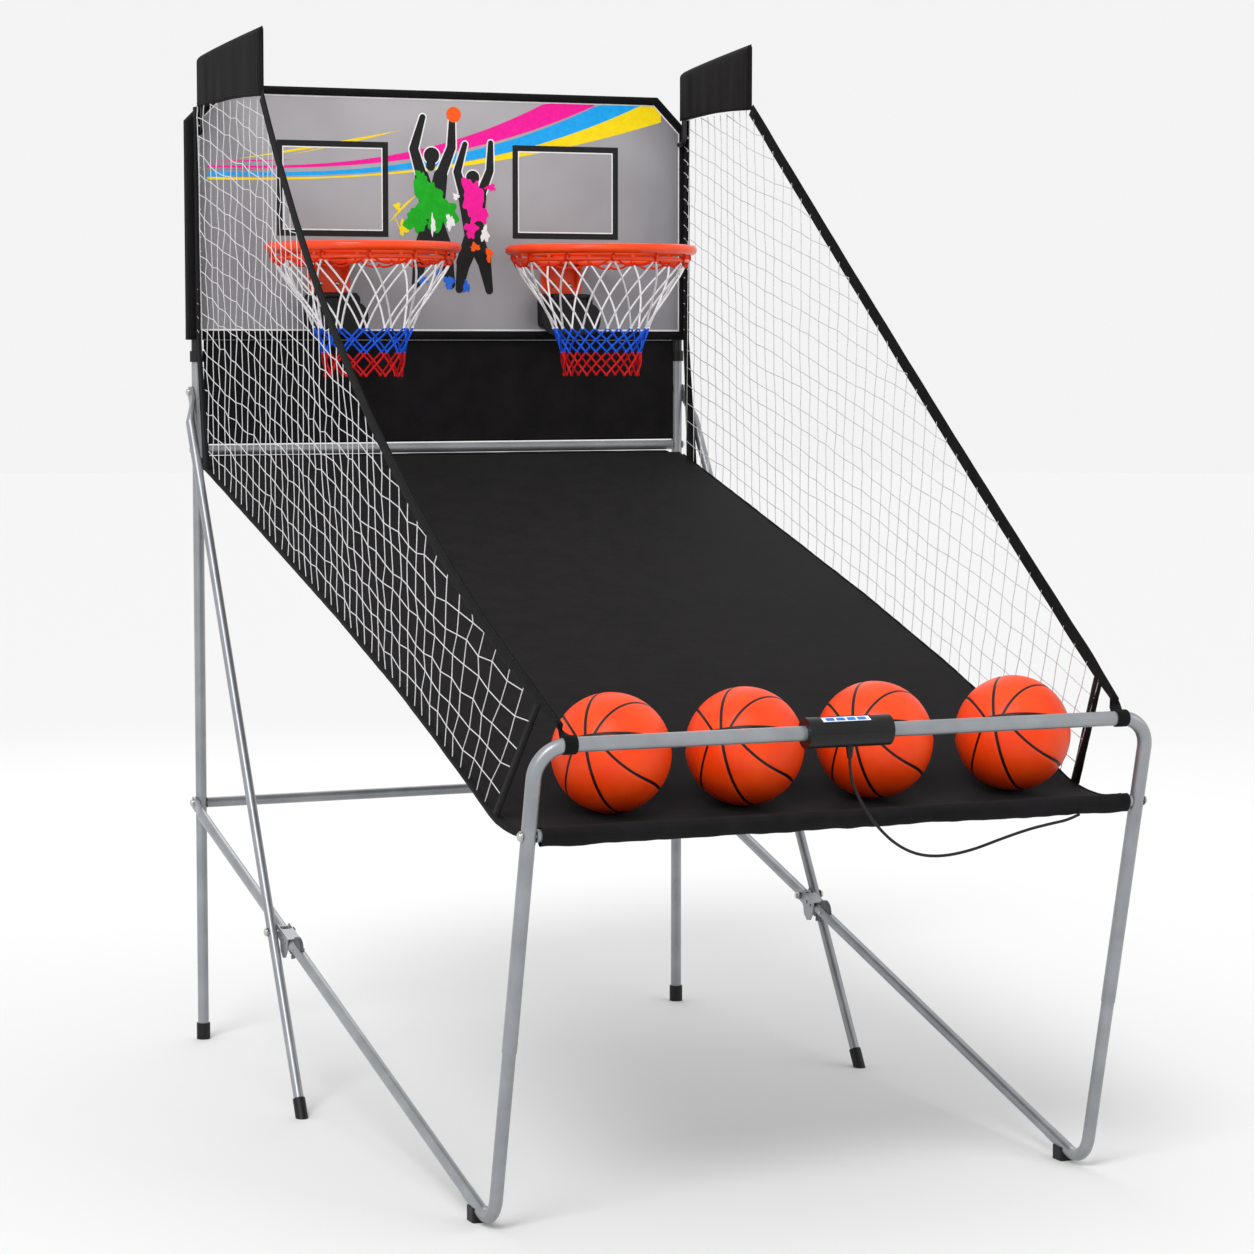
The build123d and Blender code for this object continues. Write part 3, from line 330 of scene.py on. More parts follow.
# Polyester cord is a dull off-white; nylon cord is brighter and takes strong colours.
net_cord = twisted("white_braided_polyester_cord", "#b9b9bb", "#dadadc")
hoop_cords = {
    "orange": twisted("orange_red_nylon_cord", "#c22006", "#e8340c"),
    "white": twisted("white_nylon_cord", "#d2d2d4", "#f2f2f3"),
    "blue": twisted("blue_nylon_cord", "#0a45c4", "#1a62ea"),
    "red": twisted("red_nylon_cord", "#b00c10", "#d4141a"),
}


# %% board and inks
def board_with_painted_shade():
    """Grey film on hardboard, a satin print. Painted shade makes it lighter in the middle of each half
    and darker towards its edges and foot."""
    made, tree, shader = material("grey_printed_film_with_painted_shade", IOR=1.5)
    low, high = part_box("board_panel")
    middle = (low + high) / 2
    span = high - low
    where = add(tree, "TexCoord")
    centred = add(tree, "Mapping", {"Location": -middle}, {"Vector": where.outputs["Object"]})
    split = add(tree, "SeparateXYZ", links={"Vector": centred.outputs["Vector"]})
    # painted shade: the film darkens towards the board's sides and towards its foot
    across = add(tree, "Math", {1: 2 / span.x}, {0: split.outputs["X"]}, operation="MULTIPLY")
    up = add(tree, "Math", {1: 2 / span.z}, {0: split.outputs["Z"]}, operation="MULTIPLY")
    aside = add(tree, "Math", links={0: across.outputs[0]}, operation="ABSOLUTE")
    far = add(tree, "Math", {1: 4.0}, {0: aside.outputs[0]}, operation="POWER")
    foot = add(tree, "Math", {1: -0.35}, {0: up.outputs[0]}, operation="MULTIPLY")
    shade = add(tree, "Math", links={0: far.outputs[0], 1: foot.outputs[0]}, operation="ADD")
    cloudy = spots(tree, 160, detail=2)
    shade = add(tree, "Math", links={0: shade.outputs[0], 1: cloudy.outputs["Fac"]}, operation="ADD")
    colour = ramp_between(tree, shade.outputs[0], "#aeacaf", "#86858a", 0.1, 1.5)
    tree.links.new(colour, shader.inputs["Base Color"])
    vary_roughness(tree, shader, cloudy.outputs["Fac"], 0.36, 0.46)
    raise_by(tree, shader, spots(tree, 3).outputs["Fac"], 0.04, 0.4)
    return made


def ink(name, low, high):
    """Screen-printing ink on the film: flat, slightly mottled and a little glossier than the film."""
    made, tree, shader = material(name, IOR=1.5)
    shader.inputs["Specular IOR Level"].default_value = 0.25
    tone = spots(tree, 9, detail=3)
    tree.links.new(ramp_between(tree, tone.outputs["Fac"], low, high), shader.inputs["Base Color"])
    vary_roughness(tree, shader, tone.outputs["Fac"], 0.34, 0.44)
    return made


board_print_with_painted_shade = board_with_painted_shade()
INKS = {
    "black": ink("black_screen_ink", "#111112", "#191919"),
    "white": ink("white_screen_ink", "#e6e6e6", "#f2f2f2"),
    "magenta": ink("magenta_screen_ink", "#ec0092", "#f8129e"),
    "cyan": ink("cyan_screen_ink", "#0a9de8", "#1caaf2"),
    "yellow": ink("yellow_screen_ink", "#f5d400", "#fbe012"),
    "green": ink("green_screen_ink", "#08a010", "#12b21c"),
    "orange": ink("orange_screen_ink", "#f85406", "#fb6214"),
    "blue": ink("blue_screen_ink", "#1d5fd0", "#2c70de"),
}
print("materials", len(bpy.data.materials))

# %% [markdown]
# CAD nodes keep their shapes and get the finishes. Every node is named here once, under the finish
# that the real part has.

# %% finishes for the CAD nodes
FINISHES = {
    silver: ["rear_post_left", "rear_post_right", "rear_strut_left", "rear_strut_right", "brace_leg_left",
             "brace_leg_right", "lower_cross_tube", "ramp_rear_tube", "ramp_front_tube", "board_lower_tube",
             "front_rail", "front_feet", "front_struts", "knee_brackets", "catch_plates"],
    zinc: ["frame_bolts", "frame_nuts", "leg_bolts", "latch_pins", "hoop_screws"],
    black_plastic: ["leg_caps", "post_collars", "floor_pads", "sensor_box_left", "sensor_box_right",
                    "sensor_lever_left", "sensor_lever_right"],
    black_paint: ["board_frame", "wing_tubes"],
    latch_plastic: ["latch_lever_left", "latch_lever_right"],
    hoop_paint: ["hoop_rim_left", "hoop_rim_right", "hoop_bracket_left", "hoop_bracket_right"],
    case_plastic: ["controller_shell_top", "controller_shell_bottom"],
    button_plastic: ["button_1", "button_2", "button_3", "button_4"],
    board_print_with_painted_shade: ["board_panel"],
    pcb_mask: ["controller_board"],
    cell_sleeve: ["batteries"],
    switch_plastic: ["sensor_switches"],
}
REPLACED = ["ramp", "lower_panel", "side_nets", "edge_straps", "net_borders", "wing_panel_left",
            "wing_panel_right", "board_border", "hoop_net_left", "hoop_net_right", "ball_1", "ball_2",
            "ball_3", "ball_4", "controller_cord"]
for finish, names in FINISHES.items():
    for name in names:
        NODES[name].data.materials.clear()
        NODES[name].data.materials.append(finish)
left_out = set(NODES) - set(REPLACED) - {n for names in FINISHES.values() for n in names}
print("nodes with no finish:", sorted(left_out))

# %% [markdown]
# The lead of the controller. It leaves the controller's underside, hangs in one soft curve in front
# of the hem and goes into the cloth near the right leg. It is one NURBS spline on the CAD route.

# %% controller lead
CORD_D = 4.5
CORD_ROUTE = [
    (-7, 1704, 686.7), (-6, 1703.8, 664), (2, 1703, 640), (18, 1702, 612), (41, 1700.5, 583),
    (71, 1699, 556), (108, 1697.5, 538), (150, 1696, 533), (199, 1694.5, 539), (250, 1692.5, 553),
    (300, 1690, 565), (343, 1686.5, 571), (372, 1682.5, 574), (392, 1678.5, 580.5),
]
lead_curve = bpy.data.curves.new("controller_lead", "CURVE")
lead_curve.dimensions = "3D"
lead_curve.bevel_depth = CORD_D / 2 * MM
lead_curve.bevel_resolution = 4
lead_curve.use_fill_caps = True
lead_curve.resolution_u = 12
spline = lead_curve.splines.new("NURBS")
spline.points.add(len(CORD_ROUTE) - 1)
for point, place in zip(spline.points, CORD_ROUTE):
    point.co = (*at(*place), 1)
spline.order_u = 3
spline.use_endpoint_u = True
lead_curve.materials.append(pvc)
lead = bpy.data.objects.new("controller_lead", lead_curve)
scene.collection.objects.link(lead)
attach(lead, "front_frame")
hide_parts("controller_cord")

# %% [markdown]
# Two ways of making new pieces are used again and again. A sheet is a flat grid whose points are
# placed by a rule, then given its thickness. A loft is a row of points that is pulled on, step by
# step, along the piece; each step is one extrusion of the last row.

# %% sheets, lofts and strands
def sheet(name, columns, rows, place, thickness, finish):
    """A grid placed by place(u, v), with u and v from 0 to 1, then thickened by thickness in mm."""
    bm = bmesh.new()
    bm.loops.layers.uv.new("cloth")
    bmesh.ops.create_grid(bm, x_segments=columns, y_segments=rows, size=0.5, calc_uvs=True)
    for v in bm.verts:
        v.co = place(v.co.x + 0.5, v.co.y + 0.5)
    bmesh.ops.recalc_face_normals(bm, faces=bm.faces)
    if thickness:
        bmesh.ops.solidify(bm, geom=bm.faces[:], thickness=thickness * MM)
    return put(name, bm, finish)


def pull(bm, rows, ring=True, cap=True, join=False):
    """Lofts through rows of points: the first is drawn, and each next one is extruded from the last."""
    verts = [bm.verts.new(p) for p in rows[0]]
    pairs = list(zip(verts, verts[1:] + verts[:1] if ring else verts[1:]))
    edges = [bm.edges.new(pair) for pair in pairs]
    first = list(edges)
    for row in rows[1:]:
        made = bmesh.ops.extrude_edge_only(bm, edges=edges)["geom"]
        fresh = {g for g in made if isinstance(g, bmesh.types.BMVert)}
        verts = [next(e.other_vert(v) for e in v.link_edges if e.other_vert(v) in fresh) for v in verts]
        pairs = list(zip(verts, verts[1:] + verts[:1] if ring else verts[1:]))
        edges = [bm.edges.get(pair) for pair in pairs]
        for v, p in zip(verts, row):
            v.co = p
    if join:
        bmesh.ops.bridge_loops(bm, edges=first + edges)
    elif cap:
        bmesh.ops.holes_fill(bm, edges=first, sides=0)
        bmesh.ops.holes_fill(bm, edges=edges, sides=0)


def loft(name, parts, finish, ring=True, cap=True, join=False, smooth=True):
    """One object from one or more lofts."""
    bm = bmesh.new()
    for rows in parts:
        pull(bm, rows, ring, cap, join)
    bmesh.ops.recalc_face_normals(bm, faces=bm.faces)
    return put(name, bm, finish, smooth)


def strands(name, lines, radius, finish, sides=6, rounded=False):
    """Cords along lines of points, all in one mesh: curves with a round bevel, then made a mesh."""
    curve = bpy.data.curves.new(name, "CURVE")
    curve.dimensions = "3D"
    curve.bevel_depth = radius * MM
    curve.bevel_resolution = (sides - 4) // 2
    curve.use_fill_caps = True
    curve.resolution_u = 4
    for line in lines:
        spline = curve.splines.new("NURBS" if rounded else "POLY")
        spline.points.add(len(line) - 1)
        for point, place in zip(spline.points, line):
            point.co = (*place, 1)
        if rounded:
            spline.order_u = 3
            spline.use_endpoint_u = True
    drawn = bpy.data.objects.new(name + "_line", curve)
    scene.collection.objects.link(drawn)
    graph = bpy.context.evaluated_depsgraph_get()
    mesh = bpy.data.meshes.new_from_object(drawn.evaluated_get(graph))
    bpy.data.objects.remove(drawn)
    bpy.data.curves.remove(curve)
    mesh.name = name
    mesh.materials.clear()
    mesh.materials.append(finish)
    piece = bpy.data.objects.new(name, mesh)
    scene.collection.objects.link(piece)
    mesh.polygons.foreach_set("use_smooth", [True] * len(mesh.polygons))
    return piece


def joined(name, *pieces):
    """Joins pieces into the first and renames it."""
    with bpy.context.temp_override(active_object=pieces[0], selected_editable_objects=list(pieces)):
        bpy.ops.object.join()
    pieces[0].name = name
    pieces[0].data.name = name
    return pieces[0]


def settle(piece, body):
    """Lets a piece ride on one body."""
    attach(piece, body)


def wave(place, size_mm, seed=0.0):
    """Smooth noise from -1 to 1 at a point in metres, with folds about size_mm wide."""
    return noise.noise(place * (1000 / size_mm) + Vector((seed, seed * 1.7, seed * 0.3)))


print("helpers ready")

# %% [markdown]
# The ramp is one tight cloth from the rear tube down to the front tube. It falls steeply, flattens
# into a trough where the balls stop, and lifts to the front hem. The balls press it down a little.

# %% ramp shape
RAMP_PROFILE = [(13, 1077), (400, 966), (800, 850), (1100, 755), (1250, 702), (1400, 646), (1507, 603.2),
                (1570, 595.4), (1608, 594.5), (1671.2, 607.6)]
RAMP_START = RAMP_PROFILE[0][0]
RAMP_END = RAMP_PROFILE[-1][0]
RAMP_HALF = 480.0
RAMP_SLACK = 1.8
BALL_R = 88.5
BALL_DEPTH = 1530.0
BALL_Z = 690.0
BALL_X = (-308.0, -93.0, 123.0, 361.0)
FRONT_TUBE = (1673.2, 596.0)


def along(profile, depth):
    """The height of a profile of (depth, z) points at one depth."""
    for (d0, z0), (d1, z1) in zip(profile, profile[1:]):
        if depth <= d1:
            return z0 + (z1 - z0) * (depth - d0) / (d1 - d0)
    return profile[-1][1]


def ramp_height(depth):
    """The cloth's upper face, with the corners between the CAD's straight stretches softened."""
    reach = 26.0
    depths = [min(max(depth + step * reach, RAMP_START), RAMP_END) for step in (-1, -0.5, 0, 0.5, 1)]
    inside = 1.0 if 60 < depth < 1640 else 0.0
    soft = sum(along(RAMP_PROFILE, d) for d in depths) / len(depths)
    return along(RAMP_PROFILE, depth) * (1 - inside) + soft * inside


def ramp_point(u, v):
    x = (u * 2 - 1) * RAMP_HALF
    depth = RAMP_START + v * (RAMP_END - RAMP_START)
    z = ramp_height(depth)
    pressed = sum(math.exp(-((x - b) ** 2 + (depth - BALL_DEPTH) ** 2) / 75 ** 2) for b in BALL_X)
    z -= 1.0 + 0.9 * pressed
    free = math.sin(math.pi * min(1, v * 1.02)) * (1 - abs(u * 2 - 1) ** 6)
    z += free * RAMP_SLACK * 1.1 * wave(Vector((x * MM, depth * MM * 0.35, 0)), 170, 3)
    z -= free * 2.2 * (1 - abs(u * 2 - 1) ** 2) * math.sin(math.pi * v) * (1 - min(1, pressed))
    edge_pull = max(0.0, abs(u * 2 - 1) - 0.93) / 0.07
    z += 0.9 * edge_pull * wave(Vector((x * MM, depth * MM, 0)), 60, 9)
    return at(x, depth, z)


ramp = sheet("ramp_cloth", 120, 190, ramp_point, 0.9, ramp_cloth)
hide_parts("ramp")
print("ramp faces", len(ramp.data.polygons))

# %% ramp hems and stitching
HEM_TURN = 24


def hem_ring(x, seed):
    """One section of the front sleeve: round over the tube, with a loose lip below."""
    depth0, z0 = FRONT_TUBE
    ring = []
    for i in range(HEM_TURN):
        turn = 2 * math.pi * i / HEM_TURN
        sag = max(0.0, -math.sin(turn)) ** 3
        ragged = wave(Vector((x * MM, math.sin(turn) * 0.02, 0)), 22, seed) * 1.2
        slow = wave(Vector((x * MM, 0.1, 0.2)), 80, seed + 4) * 1.6
        radius = 11.9 + sag * (4.4 + slow + ragged) + ragged * 0.25
        ring.append(at(x, depth0 + math.cos(turn) * radius * (1 - 0.35 * sag), z0 + math.sin(turn) * radius))
    return ring


front_rows = [hem_ring(-478 + 956 * i / 260, 5.0) for i in range(261)]
front_hem = loft("ramp_front_hem", [front_rows], ramp_cloth, cap=False)
thick = front_hem.modifiers.new("cloth", "SOLIDIFY")
thick.thickness = 0.7 * MM
thick.offset = -1


def rear_ring(x):
    """One section of the rear hem, a flat fold that lies on the rear tube's front."""
    wander = wave(Vector((x * MM, 0, 0)), 50, 2) * 0.6
    return [at(x, 13.6, 1078.2 + wander), at(x, 9, 1079.2 + wander), at(x, -4, 1080.5 + wander),
            at(x, -6.5, 1078.9 + wander), at(x, -4, 1077.2 + wander), at(x, 12, 1074.8 + wander)]


rear_hem = loft("ramp_rear_hem", [[rear_ring(-458 + 916 * i / 120) for i in range(121)]], ramp_cloth)
settle(rear_hem, "rear_frame")


def stitch_line(points, length, gap, lift):
    """Short stitches along a line of points, each a small arch of thread."""
    made = []
    spare = 0.0
    for a, b in zip(points, points[1:]):
        run = (b - a).length * 1000
        place = spare
        while place + length <= run:
            p = a.lerp(b, place / run)
            q = a.lerp(b, (place + length) / run)
            made.append([p, (p + q) / 2 + lift, q])
            place += length + gap
        spare = max(0.0, place - run)
    return made


SIDE_SEAM = 0.4885          # share of the ramp's width between its middle and the side seam
FRONT_SEAM = 0.988          # share of the ramp's run at which the front seam lies
THREAD_LIFT = Vector((0, 0, 0.3 * MM))
hem_lines = []
for x_side in (-1, 1):
    edge = [ramp_point(0.5 + x_side * SIDE_SEAM, i / 60) + THREAD_LIFT for i in range(61)]
    hem_lines += stitch_line(edge, 5.0, 2.2, THREAD_LIFT)
row = [ramp_point(i / 60, FRONT_SEAM) + THREAD_LIFT for i in range(1, 60)]
hem_lines += stitch_line(row, 5.0, 2.2, THREAD_LIFT)
ramp_stitches = strands("ramp_stitches", hem_lines, 0.45, stitching, sides=4)
print("stitches", len(hem_lines))

# %% [markdown]
# The ramp and its trimmings reach from the rear frame to the front frame. Their places are baked into
# their meshes.


def bend(piece):
    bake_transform(piece)


for piece in (ramp, front_hem, ramp_stitches):
    bend(piece)

# %% [markdown]
# A black cloth hangs below the backboard and closes the gap down to the ramp. It is held along its top
# and bottom and puckers a little between.

# %% lower panel
PANEL_LOW, PANEL_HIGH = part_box("lower_panel")
PANEL_DEPTH = (POST_Y - PANEL_LOW.y) / MM
PANEL_HALF = 469.3           # up to the posts' inner sides
print("lower panel lies at depth", round(PANEL_DEPTH, 1))


def lower_point(u, v):
    x = (u * 2 - 1) * PANEL_HALF
    z = PANEL_LOW.z / MM + v * (PANEL_HIGH.z - PANEL_LOW.z) / MM
    slack = math.sin(math.pi * v) * math.sin(math.pi * u) ** 0.5
    pucker = wave(Vector((x * MM, z * MM * 0.35, 0)), 70, 1) * 1.6 * slack
    return at(x, PANEL_DEPTH - 1.2 + pucker, z)


lower = sheet("lower_panel_cloth", 110, 40, lower_point, 0.9, ramp_cloth)
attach(lower, "rear_frame")
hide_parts("lower_panel")
rows = []
for v in (0.035, 0.965):
    rows += stitch_line([lower_point(i / 80, v) + Vector((0, -0.4 * MM, 0)) for i in range(1, 80)],
                        5.0, 2.2, Vector((0, -0.3 * MM, 0)))
lower_stitches = strands("lower_panel_stitches", rows, 0.45, stitching, sides=4)
settle(lower_stitches, "rear_frame")
print("lower panel", len(lower.data.polygons))

# %% [markdown]
# The backboard's edge is a cloth sleeve over the frame tube. It is a soft ring with the board's cut
# corners: a few sections across, pulled round, with small wrinkles.

# %% board border sleeve
OUTER = dict(half=499.0, low=1293.0, high=1755.0, cut=66.0)
INNER = dict(half=478.0, low=1309.0, high=1740.0, cut=53.0)
PANEL_FACE = 15.0


SLEEVE_COUNTS = (110, 44, 10, 96, 10, 44)
KEYLINE_COUNTS = (2, 2, 2, 2, 2, 2)


def board_outline(half, low, high, cut, counts):
    """Points round the board, square at the foot, with cut top corners; counts says how many a side has."""
    corners = [(-half, low), (half, low), (half, high - cut), (half - cut, high), (cut - half, high),
               (-half, high - cut)]
    made = []
    for (x0, z0), (x1, z1), count in zip(corners, corners[1:] + corners[:1], counts):
        made += [(x0 + (x1 - x0) * i / count, z0 + (z1 - z0) * i / count) for i in range(count)]
    return made


def between(share):
    """The outline part of the way from the sleeve's outer edge to its inner one."""
    sizes = {key: OUTER[key] + (INNER[key] - OUTER[key]) * share for key in OUTER}
    return board_outline(**sizes, counts=SLEEVE_COUNTS)


SLEEVE_SECTION = [(1.0, 15.4), (0.97, 17.2), (0.8, 18.4), (0.5, 18.8), (0.2, 18.2), (0.02, 15.0),
                  (-0.04, 8.0), (-0.05, 2.0), (-0.03, -5.0), (0.04, -9.5), (0.3, -11.8), (0.7, -11.6),
                  (0.95, -9.0), (1.0, 0.0), (1.0, 9.0), (0.93, 9.8)]
rows = []
for share, depth in SLEEVE_SECTION:
    row = []
    for x, z in between(share):
        ruck = wave(Vector((x * MM, depth * MM * 2, z * MM)), 26, 7) * 0.55
        row.append(at(x, depth + ruck, z))
    rows.append(row)
border = loft("board_border_sleeve", [rows], border_cloth, cap=False, join=True)
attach(border, "rear_frame")
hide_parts("board_border")
print("border", len(border.data.polygons))

# %% [markdown]
# The print on the board. Each ink is a film about a tenth of a millimetre thick: a white keyline, two
# shooting squares, three ribbons that widen to the right, and a pictogram of two plain figures that
# reach for a ball in front of splashes of paint. The figures are only round heads and tapered limbs.

# %% printing helpers
INK_T = 0.12


def printed(name, shapes, lift, colour):
    """Flat ink shapes on the board: each outline is a list of (x, z) points."""
    bm = bmesh.new()
    for i, outline in enumerate(shapes):
        depth = PANEL_FACE + lift + 0.004 * i
        face = bm.faces.new([bm.verts.new(at(x, depth - INK_T, z)) for x, z in outline])
        made = bmesh.ops.extrude_face_region(bm, geom=[face])["geom"]
        moved = [g for g in made if isinstance(g, bmesh.types.BMVert)]
        bmesh.ops.translate(bm, verts=moved, vec=(0, -INK_T * MM, 0))
    bmesh.ops.recalc_face_normals(bm, faces=bm.faces)
    piece = put(name, bm, INKS[colour], smooth=False)
    settle(piece, "rear_frame")
    return piece


def printed_frame(name, outer, inner, lift, colour):
    """A flat ink ring between two outlines with the same number of points."""
    rows = [[at(x, PANEL_FACE + d, z) for x, z in line]
            for line, d in ((outer, lift - INK_T), (outer, lift), (inner, lift), (inner, lift - INK_T))]
    piece = loft(name, [rows], INKS[colour], cap=False, join=True, smooth=False)
    settle(piece, "rear_frame")
    return piece


def rectangle(x0, z0, x1, z1):
    return [(x0, z0), (x1, z0), (x1, z1), (x0, z1)]


# %% keyline and shooting squares
KEY_W = 3.0
outer = board_outline(478.5, 1309.0, 1740.5, 53.2, KEYLINE_COUNTS)
inner = board_outline(478.5 - KEY_W, 1309.0 + KEY_W, 1740.5 - KEY_W, 53.2 - KEY_W * 0.59,
                      KEYLINE_COUNTS)
printed_frame("keyline", outer, inner, 0.14, "white")
SQUARES = {"left": (-330, -114), "right": (134, 350)}
SQUARE_Z = (1483, 1658)
LINE_W = 11.0
FINE_W = 2.2
for side, (x0, x1) in SQUARES.items():
    z0, z1 = SQUARE_Z
    nest = [rectangle(x0 + w, z0 + w, x1 - w, z1 - w) for w in (0, LINE_W, LINE_W + FINE_W)]
    printed_frame(f"shooting_square_{side}", nest[0], nest[1], 0.4, "black")
    printed_frame(f"shooting_square_inner_{side}", nest[1], nest[2], 0.38, "white")
print("squares", SQUARES)

# %% ribbons
RIBBON_FROM = -462.0
BOARD_INSIDE = dict(half=476.0, high=1738.0, cut=52.0)


def under_border(x, z):
    """Keeps a height inside the board's top edge and its cut right corner."""
    room = BOARD_INSIDE["high"] - max(0.0, x - (BOARD_INSIDE["half"] - BOARD_INSIDE["cut"]))
    return min(z, room)


def sweep_up(start_z, end_x, end_z, power):
    """A line that starts level at the left and sweeps up to (end_x, end_z)."""
    def height(x):
        share = (x - RIBBON_FROM) / (end_x - RIBBON_FROM)
        return under_border(x, start_z + (end_z - start_z) * share ** power)
    return height


RIBBONS = {
    "magenta": (sweep_up(1609, 200, 1738, 2.6), sweep_up(1605, 313, 1741, 2.6)),
    "cyan": (sweep_up(1597, 315, 1740, 2.6), sweep_up(1591, 396, 1734, 2.6)),
    "yellow": (sweep_up(1587.5, 396, 1738, 2.6), sweep_up(1583, 442, 1709, 2.2)),
}


def band(upper, lower, x0, x1, steps=60):
    """The outline between two height lines, left out where they meet at the border."""
    xs = [x0 + (x1 - x0) * i / steps for i in range(steps + 1)]
    xs = [x for x in xs if upper(x) - lower(x) > 0.2]
    return [(x, lower(x)) for x in xs] + [(x, upper(x)) for x in reversed(xs)]


for i, (colour, (upper, lower)) in enumerate(RIBBONS.items()):
    printed(f"ribbon_{colour}", [band(upper, lower, RIBBON_FROM, 455.0)], 0.16 + 0.02 * i, colour)


def brush_line(start, end, rise, width):
    """A thin brushed streak that swells in its middle."""
    def mid(share):
        return (start[0] + (end[0] - start[0]) * share,
                start[1] + (end[1] - start[1]) * share + rise * share * share)
    steps = 24
    edge = []
    for sign, order in ((-1, range(steps + 1)), (1, range(steps, -1, -1))):
        for i in order:
            share = i / steps
            x, z = mid(share)
            edge.append((x, z + sign * width / 2 * (0.15 + math.sin(math.pi * share))))
    return edge


STREAKS = {
    "yellow": [((-400, 1622), (-110, 1668), 8, 4.0), ((-300, 1632), (-84, 1676), 6, 2.0),
               ((-60, 1560), (-112, 1520), -10, 5.0), ((-104, 1528), (-86, 1480), 12, 3.6)],
    "magenta": [((-455, 1616), (-300, 1620), 2, 2.2), ((-440, 1601), (-330, 1604), 1, 1.4)],
    "cyan": [((-466, 1600.5), (-380, 1601), 1, 1.6), ((-470, 1589), (-420, 1588), 0, 1.5)],
    "orange": [((66, 1618), (86, 1500), -8, 3.2), ((84, 1560), (70, 1470), 6, 3.4)],
}
for colour, lines in STREAKS.items():
    printed(f"streaks_{colour}", [brush_line(*line) for line in lines], 0.24, colour)
print("ribbons", list(RIBBONS))


# %% pictogram
def limb(x0, z0, r0, x1, z1, r1, steps=10):
    """A tapered limb with round ends, between two circles."""
    turn = math.atan2(z1 - z0, x1 - x0)
    made = []
    for x, z, r, facing in ((x1, z1, r1, turn), (x0, z0, r0, turn + math.pi)):
        for i in range(steps + 1):
            a = facing - math.pi / 2 + math.pi * i / steps
            made.append((x + r * math.cos(a), z + r * math.sin(a)))
    return made


def disc(x, z, r, steps=36):
    return [(x + r * math.cos(2 * math.pi * i / steps), z + r * math.sin(2 * math.pi * i / steps))
            for i in range(steps)]


def splash(x, z, r, seed, tall=1.0, steps=72):
    """A blot of paint: a circle whose edge runs out in a few rounded tongues."""
    made = []
    for i in range(steps):
        a = 2 * math.pi * i / steps
        lobes = 0.22 * math.sin(3 * a + seed) + 0.14 * math.sin(5 * a + 2.3 * seed)
        lobes += 0.1 * math.sin(9 * a - seed)
        reach = r * (1 + lobes)
        made.append((x + reach * math.cos(a), z + tall * reach * math.sin(a)))
    return made


ARMS = [("shoulder_a", 11, "elbow_a", 9), ("elbow_a", 9, "hand_a", 6), ("shoulder_b", 11, "elbow_b", 9),
        ("elbow_b", 9, "hand_b", 6)]


def figure(x, foot, size):
    """A plain jumping figure: round head, tapered trunk, two raised arms and two legs."""
    def p(dx, dz):
        return x + dx * size, foot + dz * size
    joints = {
        "head": p(2, 246), "neck": p(0, 226), "hip": p(4, 120), "elbow_a": p(-34, 258), "hand_a": p(-16, 318),
        "elbow_b": p(42, 262), "hand_b": p(44, 322), "shoulder_a": p(-18, 206), "shoulder_b": p(20, 208),
        "knee_a": p(-20, 62), "foot_a": p(-30, 4), "knee_b": p(28, 66), "foot_b": p(40, 2),
    }
    links = ARMS + [("shoulder_a", 14, "hip", 21), ("shoulder_b", 14, "hip", 21), ("hip", 21, "knee_a", 17),
                    ("knee_a", 16, "foot_a", 9), ("hip", 21, "knee_b", 17), ("knee_b", 16, "foot_b", 9),
                    ("neck", 9, "head", 9)]
    shapes = [limb(*joints[a], ra * size, *joints[b], rb * size) for a, ra, b, rb in links]
    return shapes + [disc(*joints["head"], 15.5 * size)], joints


TALL, SHORT = 0.98, 0.86     # sizes of the two figures
tall, tall_joints = figure(-30, 1394, TALL)
short, short_joints = figure(52, 1384, SHORT)
HALO = 2.4
halo = [disc(*tall_joints["head"], 15.2 + HALO), disc(*short_joints["head"], 13.3 + HALO)]
for joints, size in ((tall_joints, TALL), (short_joints, SHORT)):
    for a, ra, b, rb in ARMS:
        halo.append(limb(*joints[a], ra * size + HALO, *joints[b], rb * size + HALO))
printed("pictogram_halo", halo, 0.26, "white")
printed("pictogram_figures", tall + short, 0.36, "black")
printed("pictogram_ball", [disc(16, 1712, 14.5)], 0.5, "orange")
printed("splashes_green", [splash(-38, 1556, 24, 0.6, 1.5), splash(-10, 1530, 30, 2.1, 1.1),
                           splash(-60, 1516, 20, 3.7, 1.2), splash(-50, 1590, 11, 1.2, 1.5)], 0.5, "green")
printed("splashes_magenta", [splash(52, 1562, 20, 1.1, 1.6), splash(66, 1530, 17, 2.9, 1.2),
                             splash(90, 1578, 10, 4.2, 0.6), splash(50, 1498, 12, 0.2, 1.2)], 0.52, "magenta")
printed("splashes_yellow", [splash(-84, 1500, 9, 2.0, 1.4), splash(-96, 1540, 6, 5.2, 1.2)], 0.48, "yellow")
printed("splashes_white", [splash(8, 1512, 8, 1.4, 1.7), splash(20, 1560, 6, 0.9),
                           splash(78, 1490, 8, 3.3, 1.8), splash(-26, 1506, 4.4, 1.9, 4.0)], 0.6, "white")
printed("splashes_orange", [splash(58, 1466, 9, 2.2, 0.8), splash(86, 1452, 6, 0.5, 2.2),
                            splash(24, 1470, 5, 4.4, 0.7)], 0.62, "orange")
printed("splashes_blue", [splash(-46, 1404, 9, 1.8, 0.9), splash(6, 1400, 10, 0.3, 1.2),
                          splash(40, 1392, 7, 2.6, 1.5), splash(-14, 1418, 5, 3.9, 1.4)], 0.62, "blue")
print("print pieces done")

# %% [markdown]
# The side nets. A net hangs from the black webbing above to the edge of the ramp below. Its upright
# cords lean forward more and more towards the front, and its sloping cords run level with the ramp.
# The meshes are never quite square, so each crossing is moved a little, with a small knot on it.

